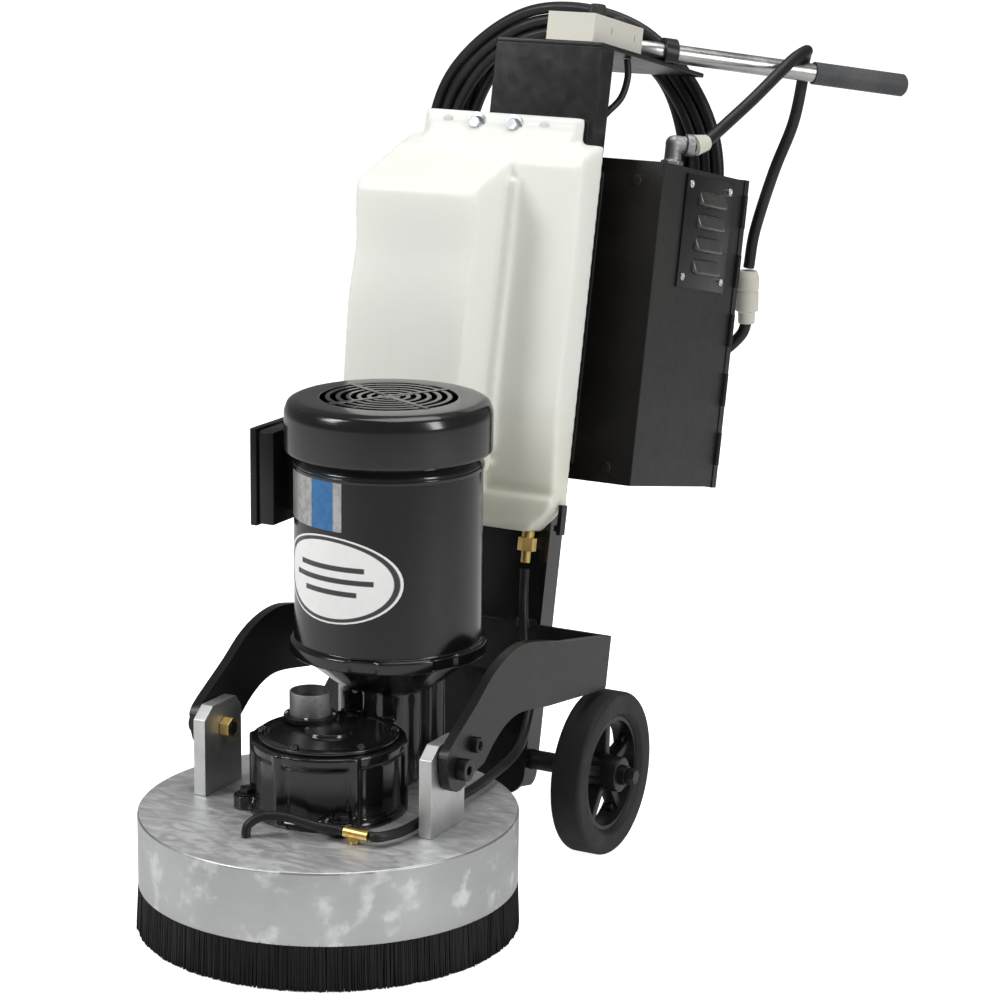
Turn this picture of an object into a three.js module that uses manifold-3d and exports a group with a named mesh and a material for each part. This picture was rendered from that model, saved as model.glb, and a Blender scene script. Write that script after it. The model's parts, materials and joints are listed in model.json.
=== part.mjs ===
// Walk-behind planetary concrete grinder: skirted grinding head with an upright motor, carried by a
// yoke on a leaning mast with two wheels, a water tank, a drive cabinet and a V-shaped handle.
// Millimetres, Z up, grinding head to the front (-Y). The floor is Z = 0.
import * as THREE from "three";
import { mergeVertices } from "three/addons/utils/BufferGeometryUtils.js";
import Module from "manifold-3d";

const wasm = await Module();
wasm.setup();

// ---- driving dimensions -------------------------------------------------------------------------
const GAP = 0.3;
const HEAD_SHIFT_Y = -391.36; // head axis, measured from the middle of the whole machine
const DRUM_R = 225;
const DRUM_WALL = 5;
const DRUM_BOTTOM = 55;
const DRUM_TOP = 142;
const DRUM_PLATE = 8;
const SKIRT_FLARE = 2.4;
const SKIRT_INNER = 213;
const CASE_R = 88;
const CASE_TOP = 230;
const CAP_R = 83;
const CAP_T = 6;
const TALL_HALF = 46;
const TALL_FRONT = 85;
const TALL_REAR = 212;
const TALL_CORNER = 24;
const MOTOR_Y = 140;
const MOTOR_R = 113;
const MOTOR_RING_R = 119;
const MOTOR_BOTTOM = 302;
const MOTOR_RING_TOP = 318;
const MOTOR_SHELL_TOP = 556;
const FAN_COVER_R = 124.6;
const FAN_COVER_TOP = 612;
const PINION_R = 22;
const IDLER_R = 24;
const IDLER_Y = MOTOR_Y - PINION_R - IDLER_R;
const OUTPUT_R = 70;
const GEAR_LOW = 172;
const GEAR_HIGH = 196;
const TOOTH = 3;
const ORBIT_R = 120;
const SATELLITES = 3;
const TOOL_R = 88;
const PLANET_R = 40;
const SUN_R = ORBIT_R - PLANET_R;
const SEGMENTS = 6;
const PORT_R = 25;
const PORT_X = -43;
const PORT_Y = 30;
const PORT_TOP = 271;
const TEE_X = 90;
const TEE_Y = -94;
const PIVOT_Z = 218;
const PIVOT_R = 8;
const POST_X = 145.5;
const POST_T = 16;
const ARM_X = 163.5;
const ARM_T = 12;
const MAST_Y = 340; // front face of the mast where it meets the floor
const MAST_LEAN = THREE.MathUtils.degToRad(11.7);
const MAST_HALF = 75;
const MAST_DEPTH = 36;
const MAST_WALL = 6;
const MAST_LOW = 62;
const MAST_TOP = 1017;
const AXLE_Y = 380;
const AXLE_Z = 104;
const AXLE_R = 12.5;
const WHEEL_R = 104;
const WHEEL_IN = 152;
const WHEEL_OUT = 194;
const SHELF_T = 6;
const SHELF_LENGTH = 321;
const SHELF_TOP = MAST_TOP + GAP + SHELF_T;
const BAR_R = 12.5;
const BAR_LIFT = SHELF_TOP + BAR_R + 1.5;
const BAR_BEND_X = 54;
const BAR_BEND_V = 206;
const BAR_END_X = 306;
const GRIP_R = 15;
const GRIP_LENGTH = 136;
const CAB_HALF = 150;
const CAB_FRONT = 62;
const CAB_DEPTH = 262;
const CAB_LOW = 470;
const CAB_HIGH = 884;
const DOOR_T = 14;
const LOUVRES = 4;
const LOUVRE_TOP_W = 848;
const LOUVRE_PITCH = 29.5;
const ELBOW_X = 126;
const ELBOW_V = 136;
const CORD_R = 8;

// ---- helpers ------------------------------------------------------------------------------------
function signedVolume(geometry) {
  const p = geometry.getAttribute("position");
  const a = new THREE.Vector3();
  const b = new THREE.Vector3();
  const c = new THREE.Vector3();
  const index = geometry.index;
  let total = 0;
  for (let i = 0; i < index.count; i += 3) {
    a.fromBufferAttribute(p, index.getX(i));
    b.fromBufferAttribute(p, index.getX(i + 1));
    c.fromBufferAttribute(p, index.getX(i + 2));
    total += a.dot(b.cross(c));
  }
  return total;
}

function solid(source) {
  const plain = source.clone();
  plain.deleteAttribute("normal");
  plain.deleteAttribute("uv");
  const merged = mergeVertices(plain, 1e-4);
  const index = merged.index;
  if (signedVolume(merged) < 0) {
    for (let i = 0; i < index.count; i += 3) {
      const kept = index.getX(i + 1);
      index.setX(i + 1, index.getX(i + 2));
      index.setX(i + 2, kept);
    }
  }
  const positions = new Float32Array(merged.getAttribute("position").array);
  const triangles = new Uint32Array(index.array);
  return new wasm.Manifold(
    new wasm.Mesh({ numProp: 3, vertProperties: positions, triVerts: triangles }),
  );
}

function geometryOf(body) {
  const mesh = body.getMesh();
  const stride = mesh.numProp;
  const positions = new Float32Array(mesh.numVert * 3);
  for (let i = 0; i < mesh.numVert; i++) {
    positions.set(mesh.vertProperties.subarray(i * stride, i * stride + 3), i * 3);
  }
  const geometry = new THREE.BufferGeometry();
  geometry.setAttribute("position", new THREE.BufferAttribute(positions, 3));
  geometry.setIndex(new THREE.BufferAttribute(new Uint32Array(mesh.triVerts), 1));
  return geometry;
}

function block(x0, x1, y0, y1, z0, z1) {
  const g = new THREE.BoxGeometry(x1 - x0, y1 - y0, z1 - z0);
  g.translate((x0 + x1) / 2, (y0 + y1) / 2, (z0 + z1) / 2);
  return solid(g);
}

function disc(radius, z0, z1, x = 0, y = 0, sides = 28) {
  const g = new THREE.CylinderGeometry(radius, radius, z1 - z0, sides);
  g.rotateX(Math.PI / 2);
  g.translate(x, y, (z0 + z1) / 2);
  return solid(g);
}

function cone(lower, upper, z0, z1, x = 0, y = 0, sides = 28) {
  const g = new THREE.CylinderGeometry(upper, lower, z1 - z0, sides);
  g.rotateX(Math.PI / 2);
  g.translate(x, y, (z0 + z1) / 2);
  return solid(g);
}

function rod(radius, x0, x1, y, z, sides = 16) {
  const g = new THREE.CylinderGeometry(radius, radius, x1 - x0, sides);
  g.rotateZ(Math.PI / 2);
  g.translate((x0 + x1) / 2, y, z);
  return solid(g);
}

// Rod along Y.
function spar(radius, y0, y1, x, z, sides = 16) {
  const g = new THREE.CylinderGeometry(radius, radius, y1 - y0, sides);
  g.translate(x, (y0 + y1) / 2, z);
  return solid(g);
}

// Turned piece: profile as [radius, height] pairs, closed on itself or on the axis.
function turned(profile, sides = 28, x = 0, y = 0) {
  const points = profile.map(([r, h]) => new THREE.Vector2(r, h));
  const first = points[0];
  const last = points[points.length - 1];
  if (first.x > 0 || last.x > 0) points.push(first.clone());
  const g = new THREE.LatheGeometry(points, sides);
  g.rotateX(Math.PI / 2);
  g.translate(x, y, 0);
  return solid(g);
}

// Wheel-like piece turned about X.
function turnedAboutX(profile, x, y, z, sides = 32) {
  const points = profile.map(([r, h]) => new THREE.Vector2(r, h));
  points.push(points[0].clone());
  const g = new THREE.LatheGeometry(points, sides);
  g.rotateZ(-Math.PI / 2);
  g.translate(x, y, z);
  return solid(g);
}

function shapeOf(points) {
  return new THREE.Shape(points.map(([a, b]) => new THREE.Vector2(a, b)));
}

function plateXY(shape, z0, z1, curveSegments = 12) {
  const depth = z1 - z0;
  const g = new THREE.ExtrudeGeometry(shape, { depth, bevelEnabled: false, curveSegments });
  g.translate(0, 0, z0);
  return solid(g);
}

// Profile drawn in (y, z), thickness along X.
function plateYZ(shape, x0, x1, curveSegments = 12) {
  const depth = x1 - x0;
  const g = new THREE.ExtrudeGeometry(shape, { depth, bevelEnabled: false, curveSegments });
  const turn = new THREE.Matrix4();
  turn.makeBasis(
    new THREE.Vector3(0, 1, 0),
    new THREE.Vector3(0, 0, 1),
    new THREE.Vector3(1, 0, 0),
  );
  g.applyMatrix4(turn);
  g.translate(x0, 0, 0);
  return solid(g);
}

// Profile drawn in (x, z), thickness along Y.
function plateXZ(shape, y0, y1, curveSegments = 12) {
  const depth = y1 - y0;
  const g = new THREE.ExtrudeGeometry(shape, { depth, bevelEnabled: false, curveSegments });
  g.rotateX(Math.PI / 2);
  g.translate(0, y1, 0);
  return solid(g);
}

function roundedRect(x0, x1, y0, y1, r) {
  const s = new THREE.Shape();
  s.moveTo(x0 + r, y0);
  s.lineTo(x1 - r, y0);
  s.absarc(x1 - r, y0 + r, r, -Math.PI / 2, 0);
  s.lineTo(x1, y1 - r);
  s.absarc(x1 - r, y1 - r, r, 0, Math.PI / 2);
  s.lineTo(x0 + r, y1);
  s.absarc(x0 + r, y1 - r, r, Math.PI / 2, Math.PI);
  s.lineTo(x0, y0 + r);
  s.absarc(x0 + r, y0 + r, r, Math.PI, 1.5 * Math.PI);
  return s;
}

function tubeAlong(curve, radius, sides, steps) {
  const ring = new THREE.Shape();
  for (let i = 0; i < sides; i++) {
    const a = (2 * Math.PI * i) / sides;
    const p = [radius * Math.cos(a), radius * Math.sin(a)];
    if (i === 0) ring.moveTo(p[0], p[1]);
    else ring.lineTo(p[0], p[1]);
  }
  const g = new THREE.ExtrudeGeometry(ring, { steps, extrudePath: curve, curveSegments: 1 });
  return solid(g);
}

function smoothCurve(points) {
  return new THREE.CatmullRomCurve3(points.map((p) => new THREE.Vector3(...p)), false, "centripetal");
}

// Toothed wheel about Z.
function gear(pitch, bore, z0, z1, x, y, teeth, phase) {
  const tip = pitch - GAP;
  const root = pitch - TOOTH;
  const outline = [];
  for (let i = 0; i < teeth; i++) {
    for (const [r, part] of [[root, -0.25], [tip, 0.25]]) {
      const a = ((i + part) / teeth) * 2 * Math.PI + phase;
      outline.push([r * Math.cos(a), r * Math.sin(a)]);
    }
  }
  const wheel = plateXY(shapeOf(outline), z0, z1).subtract(disc(bore, z0 - 1, z1 + 1, 0, 0, 24));
  return wheel.translate([x, y, 0]);
}

const finishes = {
  blackPaint: { color: 0x151516, roughness: 0.35, metalness: 0.2 },
  texturedBlack: { color: 0x1d1c1b, roughness: 0.6, metalness: 0.1 },
  aluminium: { color: 0xb9bbbd, roughness: 0.35, metalness: 0.9 },
  steel: { color: 0x8e9092, roughness: 0.4, metalness: 0.9 },
  brass: { color: 0xb08d3c, roughness: 0.3, metalness: 0.9 },
  rubber: { color: 0x2b2b2c, roughness: 0.8, metalness: 0.0 },
  bristle: { color: 0x161616, roughness: 0.9, metalness: 0.0 },
  whitePlastic: { color: 0xe9ebe2, roughness: 0.4, metalness: 0.0 },
  cream: { color: 0xdedacb, roughness: 0.5, metalness: 0.0 },
  copper: { color: 0x9a5b35, roughness: 0.5, metalness: 0.7 },
  galvanised: { color: 0x9b9d9a, roughness: 0.45, metalness: 0.8 },
  cord: { color: 0x19191a, roughness: 0.6, metalness: 0.0 },
};

const machine = new THREE.Group();
machine.name = "concrete_grinder";
const head = new THREE.Group();
const chassis = new THREE.Group();
chassis.position.set(0, MAST_Y, 0);
chassis.rotation.x = -MAST_LEAN;
const whole = new THREE.Group();
whole.position.set(0, HEAD_SHIFT_Y, 0);
whole.add(head);
whole.add(chassis);
machine.add(whole);
whole.updateMatrixWorld(true);

function add(parent, name, body, finish) {
  const mesh = new THREE.Mesh(
    geometryOf(body),
    new THREE.MeshStandardMaterial({ ...finishes[finish] }),
  );
  mesh.name = name;
  parent.add(mesh);
}

// Leaning-mast coordinates (x, v, w) to head coordinates.
function leaning(body) {
  const m = new THREE.Matrix4().makeRotationX(-MAST_LEAN);
  m.setPosition(0, MAST_Y, 0);
  return body.transform(m.toArray());
}

// ---- grinding head ------------------------------------------------------------------------------
const drum = turned([
  [30, DRUM_TOP],
  [DRUM_R - 2, DRUM_TOP],
  [DRUM_R, DRUM_TOP - 2],
  [DRUM_R, DRUM_BOTTOM],
  [DRUM_R - DRUM_WALL, DRUM_BOTTOM],
  [DRUM_R - DRUM_WALL, DRUM_TOP - DRUM_PLATE],
  [30, DRUM_TOP - DRUM_PLATE],
], 40);
add(head, "head_drum", drum, "aluminium");

const skirt = turned([
  [SKIRT_INNER, 0],
  [DRUM_R + SKIRT_FLARE, 0],
  [DRUM_R, DRUM_BOTTOM - GAP],
  [DRUM_R - DRUM_WALL - GAP, DRUM_BOTTOM - GAP],
  [DRUM_R - DRUM_WALL - GAP, 80],
  [SKIRT_INNER, 80],
], 40);
add(head, "brush_skirt", skirt, "bristle");

const tallShape = roundedRect(-TALL_HALF, TALL_HALF, TALL_FRONT, TALL_REAR, TALL_CORNER);
let gearCase = disc(CASE_R, DRUM_TOP + GAP, CASE_TOP, 0, 0, 24)
  .add(plateXY(tallShape, DRUM_TOP + GAP, MOTOR_BOTTOM - GAP, 3))
  .add(block(-38, 38, 40, TALL_FRONT + 10, DRUM_TOP + GAP, CASE_TOP))
  .add(cone(62, 112, 262, MOTOR_BOTTOM - GAP, 0, MOTOR_Y, 24));
for (const [x, y] of [[-84, -46], [62, -74], [-66, 176], [66, 176]]) {
  gearCase = gearCase.add(disc(17, DRUM_TOP + GAP, 158, x, y, 10));
  gearCase = gearCase.add(block(
    Math.min(x, x * 0.6), Math.max(x, x * 0.6), y - 12, y + 12, DRUM_TOP + GAP, 154,
  ));
}
gearCase = gearCase
  .subtract(disc(OUTPUT_R + 4, 160, CASE_TOP + 1))
  .subtract(disc(IDLER_R + 4, 160, 222, 0, IDLER_Y, 16))
  .subtract(disc(PINION_R + 4, 160, 310, 0, MOTOR_Y, 16))
  .subtract(disc(17, 130, 170, 0, 0, 16));
add(head, "gearbox_case", gearCase, "blackPaint");

const cap = disc(CAP_R, CASE_TOP + GAP, CASE_TOP + CAP_T)
  .add(disc(PORT_R + 6, CASE_TOP + CAP_T - 1, CASE_TOP + CAP_T + 5, PORT_X, PORT_Y, 32))
  .subtract(disc(PORT_R - 2.5, CASE_TOP - 1, CASE_TOP + 20, PORT_X, PORT_Y, 32))
  .subtract(disc(PORT_R + GAP, CASE_TOP + 3, CASE_TOP + 20, PORT_X, PORT_Y, 32));
add(head, "gearbox_cap", cap, "blackPaint");

const port = turned([
  [PORT_R - 2.5, CASE_TOP + 3 + GAP],
  [PORT_R, CASE_TOP + 3 + GAP],
  [PORT_R, PORT_TOP],
  [PORT_R - 2.5, PORT_TOP],
], 32, PORT_X, PORT_Y);
add(head, "vacuum_port", port, "galvanised");

const postProfile = shapeOf([
  [-42, DRUM_TOP + GAP],
  [38, DRUM_TOP + GAP],
  [38, 236],
  [26, 250],
  [-24, 250],
  [-42, 236],
]);
for (const [side, sign] of [["left", -1], ["right", 1]]) {
  const inner = sign > 0 ? POST_X : -POST_X - POST_T;
  const post = plateYZ(postProfile, inner, inner + POST_T)
    .subtract(rod(PIVOT_R + 0.5, inner - 1, inner + POST_T + 1, 0, PIVOT_Z));
  add(head, `pivot_post_${side}`, post, "aluminium");
}

const shell = turned([
  [16, MOTOR_BOTTOM],
  [MOTOR_RING_R, MOTOR_BOTTOM],
  [MOTOR_RING_R, MOTOR_RING_TOP - 3],
  [MOTOR_RING_R - 3, MOTOR_RING_TOP],
  [MOTOR_R, MOTOR_RING_TOP],
  [MOTOR_R, MOTOR_SHELL_TOP - 20],
  [MOTOR_R - 6, MOTOR_SHELL_TOP - 12],
  [MOTOR_R - 6, MOTOR_SHELL_TOP],
  [16, MOTOR_SHELL_TOP],
  [16, MOTOR_SHELL_TOP - 8],
  [104, MOTOR_SHELL_TOP - 30],
  [104, MOTOR_BOTTOM + 14],
  [16, MOTOR_BOTTOM + 14],
], 28, 0, MOTOR_Y);
add(head, "motor_shell", shell, "blackPaint");

const stator = turned([[61, 345], [103.5, 345], [103.5, 480], [61, 480]], 28, 0, MOTOR_Y);
add(head, "stator", stator, "copper");

let fanCover = turned([
  [MOTOR_R - 6 + GAP, MOTOR_SHELL_TOP - 10],
  [FAN_COVER_R, MOTOR_SHELL_TOP - 2],
  [FAN_COVER_R, FAN_COVER_TOP - 14],
  [FAN_COVER_R - 12, FAN_COVER_TOP],
  [0, FAN_COVER_TOP],
  [0, FAN_COVER_TOP - 3],
  [FAN_COVER_R - 14, FAN_COVER_TOP - 3],
  [FAN_COVER_R - 3, FAN_COVER_TOP - 16],
  [FAN_COVER_R - 3, MOTOR_SHELL_TOP],
  [MOTOR_R - 6 + GAP, MOTOR_SHELL_TOP - 6],
], 28, 0, MOTOR_Y);
for (let ringIndex = 0; ringIndex < 2; ringIndex++) {
  const inner = 34 + ringIndex * 28;
  for (let quarter = 0; quarter < 4; quarter++) {
    const from = quarter * (Math.PI / 2) + 5 / inner;
    const to = (quarter + 1) * (Math.PI / 2) - 5 / inner;
    const slot = new THREE.Shape();
    slot.absarc(0, 0, inner + 14, from, to, false);
    slot.absarc(0, 0, inner, to, from, true);
    fanCover = fanCover.subtract(
      plateXY(slot, FAN_COVER_TOP - 6, FAN_COVER_TOP + 2, 3)
        .rotate([0, 0, 45])
        .translate([0, MOTOR_Y, 0]),
    );
  }
}
add(head, "fan_cover", fanCover, "blackPaint");

const junction = plateXY(roundedRect(-160, -128, MOTOR_Y - 55, MOTOR_Y + 35, 6), 446, 566, 4)
  .add(block(-130, -MOTOR_R - 1.5, MOTOR_Y - 24, MOTOR_Y + 24, 462, 530));
add(head, "junction_box", junction, "blackPaint");

// Water: tee on the drum with a short loop to the spray hole at the front.
const tee = disc(6, DRUM_TOP + GAP, 150, TEE_X, TEE_Y, 16)
  .add(disc(9, 146, 151, TEE_X, TEE_Y, 6))
  .add(rod(6.5, TEE_X - 12, TEE_X + 20, TEE_Y, 154, 16))
  .add(disc(5, 150, 156, TEE_X, TEE_Y, 12));
add(head, "water_tee", tee, "brass");

const sprayCurve = smoothCurve([
  [75.5, -94, 154],
  [68, -95.5, 154.5],
  [46, -104, 158],
  [10, -112, 165],
  [-14, -124, 165],
  [-26, -134, 157],
  [-28, -137, 149],
  [-28, -137, DRUM_TOP + 1],
]);
add(head, "spray_hose", tubeAlong(sprayCurve, 5.5, 8, 14), "rubber");

// ---- drive train --------------------------------------------------------------------------------
const rotor = turned([
  [0, 166],
  [14, 166],
  [14, 340],
  [58, 350],
  [58, 475],
  [14, 485],
  [12, 564],
  [88, 568],
  [96, 592],
  [88, 592],
  [80, 574],
  [0, 574],
], 28, 0, MOTOR_Y);
add(head, "rotor", rotor, "steel");

add(head, "pinion", gear(PINION_R, 14 + GAP, GEAR_LOW, GEAR_HIGH, 0, MOTOR_Y, 11, 0), "steel");

const idler = gear(IDLER_R, 1, GEAR_LOW, GEAR_HIGH, 0, IDLER_Y, 12, Math.PI / 12)
  .add(disc(9, 161, 220, 0, IDLER_Y, 24));
add(head, "idler_gear", idler, "steel");

const SHAFT_R = 15;
const CARRIER_LOW = 98;
const CARRIER_HIGH = 108;
add(head, "output_gear", gear(OUTPUT_R, SHAFT_R + GAP, GEAR_LOW, GEAR_HIGH, 0, 0, 35, 0), "steel");
add(head, "output_shaft", disc(SHAFT_R, 84, 216, 0, 0, 32), "steel");

let carrier = disc(196, CARRIER_LOW, CARRIER_HIGH, 0, 0, 28)
  .add(disc(32, 86, CARRIER_LOW + 1, 0, 0, 32))
  .subtract(disc(SHAFT_R + GAP, 80, 120, 0, 0, 32));
const satelliteAt = (i) => {
  const a = Math.PI / 2 + (i * 2 * Math.PI) / SATELLITES;
  return [ORBIT_R * Math.cos(a), ORBIT_R * Math.sin(a)];
};
for (let i = 0; i < SATELLITES; i++) {
  const [x, y] = satelliteAt(i);
  carrier = carrier.subtract(disc(15, 90, 120, x, y, 12));
}
add(head, "carrier_plate", carrier, "steel");

const sun = gear(SUN_R, 26, 112, 122, 0, 0, 20, 0)
  .add(turned([[26, 121], [40, 121], [40, DRUM_TOP - DRUM_PLATE - GAP], [26, DRUM_TOP - DRUM_PLATE - GAP]], 20));
add(head, "sun_gear", sun, "steel");

for (let i = 0; i < SATELLITES; i++) {
  const [x, y] = satelliteAt(i);
  const spindle = gear(PLANET_R, 1, 112, 122, x, y, 10, Math.PI / 10)
    .add(disc(14, 42, 124, x, y, 12));
  add(head, `satellite_spindle_${i + 1}`, spindle, "steel");
  let tool = disc(TOOL_R, 14, 24, x, y, 24)
    .add(disc(26, 24, 52, x, y, 12))
    .subtract(disc(14 + GAP, 36, 60, x, y, 12));
  for (let k = 0; k < SEGMENTS; k++) {
    const segment = block(52, 84, -11, 11, 0, 15)
      .rotate([0, 0, (k * 360) / SEGMENTS])
      .translate([x, y, 0]);
    tool = tool.add(segment);
  }
  add(head, `tool_plate_${i + 1}`, tool, "steel");
}

// ---- mast, yoke and axle ------------------------------------------------------------------------
const mastFace = new THREE.Shape();
mastFace.moveTo(-MAST_HALF, MAST_TOP);
mastFace.lineTo(-MAST_HALF, MAST_LOW + 30);
mastFace.absarc(-MAST_HALF + 30, MAST_LOW + 30, 30, Math.PI, 1.5 * Math.PI, false);
mastFace.absarc(MAST_HALF - 30, MAST_LOW + 30, 30, 1.5 * Math.PI, 2 * Math.PI, false);
mastFace.lineTo(MAST_HALF, MAST_TOP);
const mast = plateXZ(mastFace, 0, MAST_DEPTH, 6)
  .subtract(block(
    -MAST_HALF + MAST_WALL, MAST_HALF - MAST_WALL, MAST_WALL, MAST_DEPTH + 1, 0, MAST_TOP + 1,
  ))
  .subtract(rod(AXLE_R + 1, -100, 100, 18, 110));
add(chassis, "mast", mast, "blackPaint");

const armShape = new THREE.Shape();
armShape.moveTo(-27, 214);
armShape.absarc(0, PIVOT_Z, 27, Math.PI * 1.05, Math.PI * 1.78, false);
armShape.lineTo(60, 208);
armShape.splineThru([
  new THREE.Vector2(90, 229),
  new THREE.Vector2(122, 242),
  new THREE.Vector2(158, 244),
  new THREE.Vector2(222, 233),
]);
armShape.lineTo(382, 212);
armShape.lineTo(397, 278);
armShape.lineTo(265, 303);
armShape.splineThru([
  new THREE.Vector2(205, 319),
  new THREE.Vector2(161, 327),
  new THREE.Vector2(119, 323),
  new THREE.Vector2(80, 309),
  new THREE.Vector2(42, 285),
  new THREE.Vector2(-18, 251),
  new THREE.Vector2(-30, 238),
]);
const CROSS_T = 10;
let yoke = leaning(block(
  -ARM_X - ARM_T, ARM_X + ARM_T, -CROSS_T - GAP, -GAP, 219, 284,
));
for (const x0 of [ARM_X, -ARM_X - ARM_T]) {
  yoke = yoke.add(
    plateYZ(armShape, x0, x0 + ARM_T, 3)
      .subtract(rod(PIVOT_R + 0.5, x0 - 1, x0 + ARM_T + 1, 0, PIVOT_Z)),
  );
}
const behindCross = leaning(block(-300, 300, -GAP, 80, 120, 400));
yoke = yoke.subtract(behindCross);
add(head, "yoke", yoke, "blackPaint");

for (const [side, sign] of [["left", -1], ["right", 1]]) {
  const outer = ARM_X + ARM_T;
  const bolt = rod(PIVOT_R, POST_X - 14, outer + 1, 0, PIVOT_Z)
    .add(rod(13, outer + GAP, outer + 13, 0, PIVOT_Z, 24))
    .subtract(rod(6, outer + 6, outer + 20, 0, PIVOT_Z, 6));
  const placed = sign > 0 ? bolt : bolt.mirror([1, 0, 0]);
  add(head, `pivot_bolt_${side}`, placed, "steel");
  const nut = rod(13, POST_X - 13, POST_X - GAP, 0, PIVOT_Z, 6)
    .subtract(rod(PIVOT_R + GAP, POST_X - 20, POST_X + 1, 0, PIVOT_Z));
  add(head, `pivot_nut_${side}`, sign > 0 ? nut : nut.mirror([1, 0, 0]), "brass");
}

const axle = rod(AXLE_R, -WHEEL_OUT - 16, WHEEL_OUT + 16, AXLE_Y, AXLE_Z);
add(head, "axle", axle, "steel");

for (const [side, sign] of [["left", -1], ["right", 1]]) {
  const middle = (sign * (WHEEL_IN + WHEEL_OUT)) / 2;
  const half = (WHEEL_OUT - WHEEL_IN) / 2;
  const rimR = WHEEL_R - 30;
  const tyre = turnedAboutX([
    [rimR, -half + 6],
    [rimR + 6, -half],
    [WHEEL_R - 7, -half],
    [WHEEL_R, -half + 8],
    [WHEEL_R, half - 8],
    [WHEEL_R - 7, half],
    [rimR + 6, half],
    [rimR, half - 6],
  ], middle, AXLE_Y, AXLE_Z, 32);
  add(head, `tyre_${side}`, tyre, "rubber");
  let rim = turnedAboutX([
    [rimR - 6, -half + 8],
    [rimR - GAP, -half + 8],
    [rimR - GAP, half - 8],
    [rimR - 6, half - 8],
  ], 0, 0, 0, 32).add(turnedAboutX([
    [AXLE_R + 0.5, -half - 4],
    [24, -half - 4],
    [24, half + 8],
    [AXLE_R + 0.5, half + 8],
  ], 0, 0, 0, 16));
  for (let k = 0; k < 5; k++) {
    const spoke = block(-7, 7, 20, rimR - 3, -7, 7).rotate([k * 72, 0, 0]);
    rim = rim.add(spoke);
  }
  rim = rim.subtract(rod(AXLE_R + 0.5, -60, 60, 0, 0));
  if (sign < 0) rim = rim.mirror([1, 0, 0]);
  add(head, `rim_${side}`, rim.translate([middle, AXLE_Y, AXLE_Z]), "texturedBlack");
}

// ---- water tank (leaning coordinates) -----------------------------------------------------------
const TANK_LOW = 441;
const TANK_HIGH = 893;
const SUMP_LOW = 402;
const SUMP_RIGHT = 70;
const OUTLET_X = 58;
const tankLeft = -180;
const tankRight = 97;
const bulgeRight = -3;
const tankSide = (front, top, shoulder) => shapeOf([
  [-GAP, TANK_LOW],
  [-GAP, TANK_HIGH],
  [-12, TANK_HIGH],
  [front, shoulder],
  [front + 3, top - 300],
  [front + 14, TANK_LOW + 14],
  [front + 26, TANK_LOW],
]);
let tank = plateYZ(tankSide(-64, 860, 872), tankLeft + 6, tankRight)
  .add(plateYZ(tankSide(-147, 860, 822), tankLeft, bulgeRight));
const lip = new THREE.Shape();
lip.moveTo(-163, TANK_HIGH - 4);
lip.lineTo(66, TANK_HIGH - 4);
lip.lineTo(66, 911);
lip.absarc(50, 911, 16, 0, Math.PI / 2);
lip.lineTo(-152, 927);
lip.lineTo(-163, 916);
tank = tank.add(plateXZ(lip, -12, -GAP, 6));
const sump = shapeOf([
  [tankLeft + 8, TANK_LOW + 4],
  [tankLeft + 26, SUMP_LOW],
  [SUMP_RIGHT, SUMP_LOW],
  [tankRight - 3, TANK_LOW - 6],
  [tankRight - 3, TANK_LOW + 4],
]);
tank = tank.add(plateXZ(sump, -50, -4));
tank = tank
  .subtract(block(tankLeft + 5, bulgeRight - 5, -142, -5, 460, 838))
  .subtract(block(tankLeft + 12, tankRight - 5, -58, -5, 446, 866))
  .subtract(block(tankLeft + 34, SUMP_RIGHT - 12, -44, -10, SUMP_LOW + 5, 470))
  .subtract(disc(8, SUMP_LOW - 10, 460, OUTLET_X, -28, 16));
add(chassis, "water_tank", tank, "whitePlastic");

const fitting = disc(8, 384, SUMP_LOW - GAP, OUTLET_X, -28, 16)
  .add(disc(7, SUMP_LOW - 1, SUMP_LOW + 18, OUTLET_X, -28, 16))
  .add(disc(12, 377, 394, OUTLET_X, -28, 6))
  .add(disc(6.2, 362, 378, OUTLET_X, -28, 16));
add(chassis, "tank_valve", fitting, "brass");
const lever = block(92, 98, -27, -19, 406, 414).add(block(97.5, 103, -30, -16, 402, 440));
add(chassis, "valve_lever", lever, "blackPaint");

// ---- drive cabinet (leaning coordinates) --------------------------------------------------------
const cabBack = CAB_FRONT + CAB_DEPTH;
let cabinet = block(-CAB_HALF, CAB_HALF, CAB_FRONT, cabBack, CAB_LOW, CAB_HIGH)
  .subtract(block(
    -CAB_HALF + 2, CAB_HALF - 2, CAB_FRONT + 2, cabBack + 1, CAB_LOW + 2, CAB_HIGH - 2,
  ));
for (const x of [-66, 54]) {
  cabinet = cabinet.add(block(x, x + 12, MAST_DEPTH + GAP, CAB_FRONT + 1, CAB_LOW + 20, CAB_HIGH - 20));
}
for (let k = 0; k < LOUVRES; k++) {
  const w = LOUVRE_TOP_W - k * LOUVRE_PITCH;
  cabinet = cabinet.subtract(block(CAB_HALF - 5, CAB_HALF + 5, 178, 258, w - 8, w + 8));
}
cabinet = cabinet.subtract(disc(12, CAB_HIGH - 5, CAB_HIGH + 5, ELBOW_X, ELBOW_V, 12));
add(chassis, "cabinet", cabinet, "texturedBlack");

add(chassis, "drive_unit", block(-90, 90, 80, 200, 520, 800)
  .add(block(-100, 100, CAB_FRONT + 2 + GAP, 82, 510, 810)), "texturedBlack");

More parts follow.
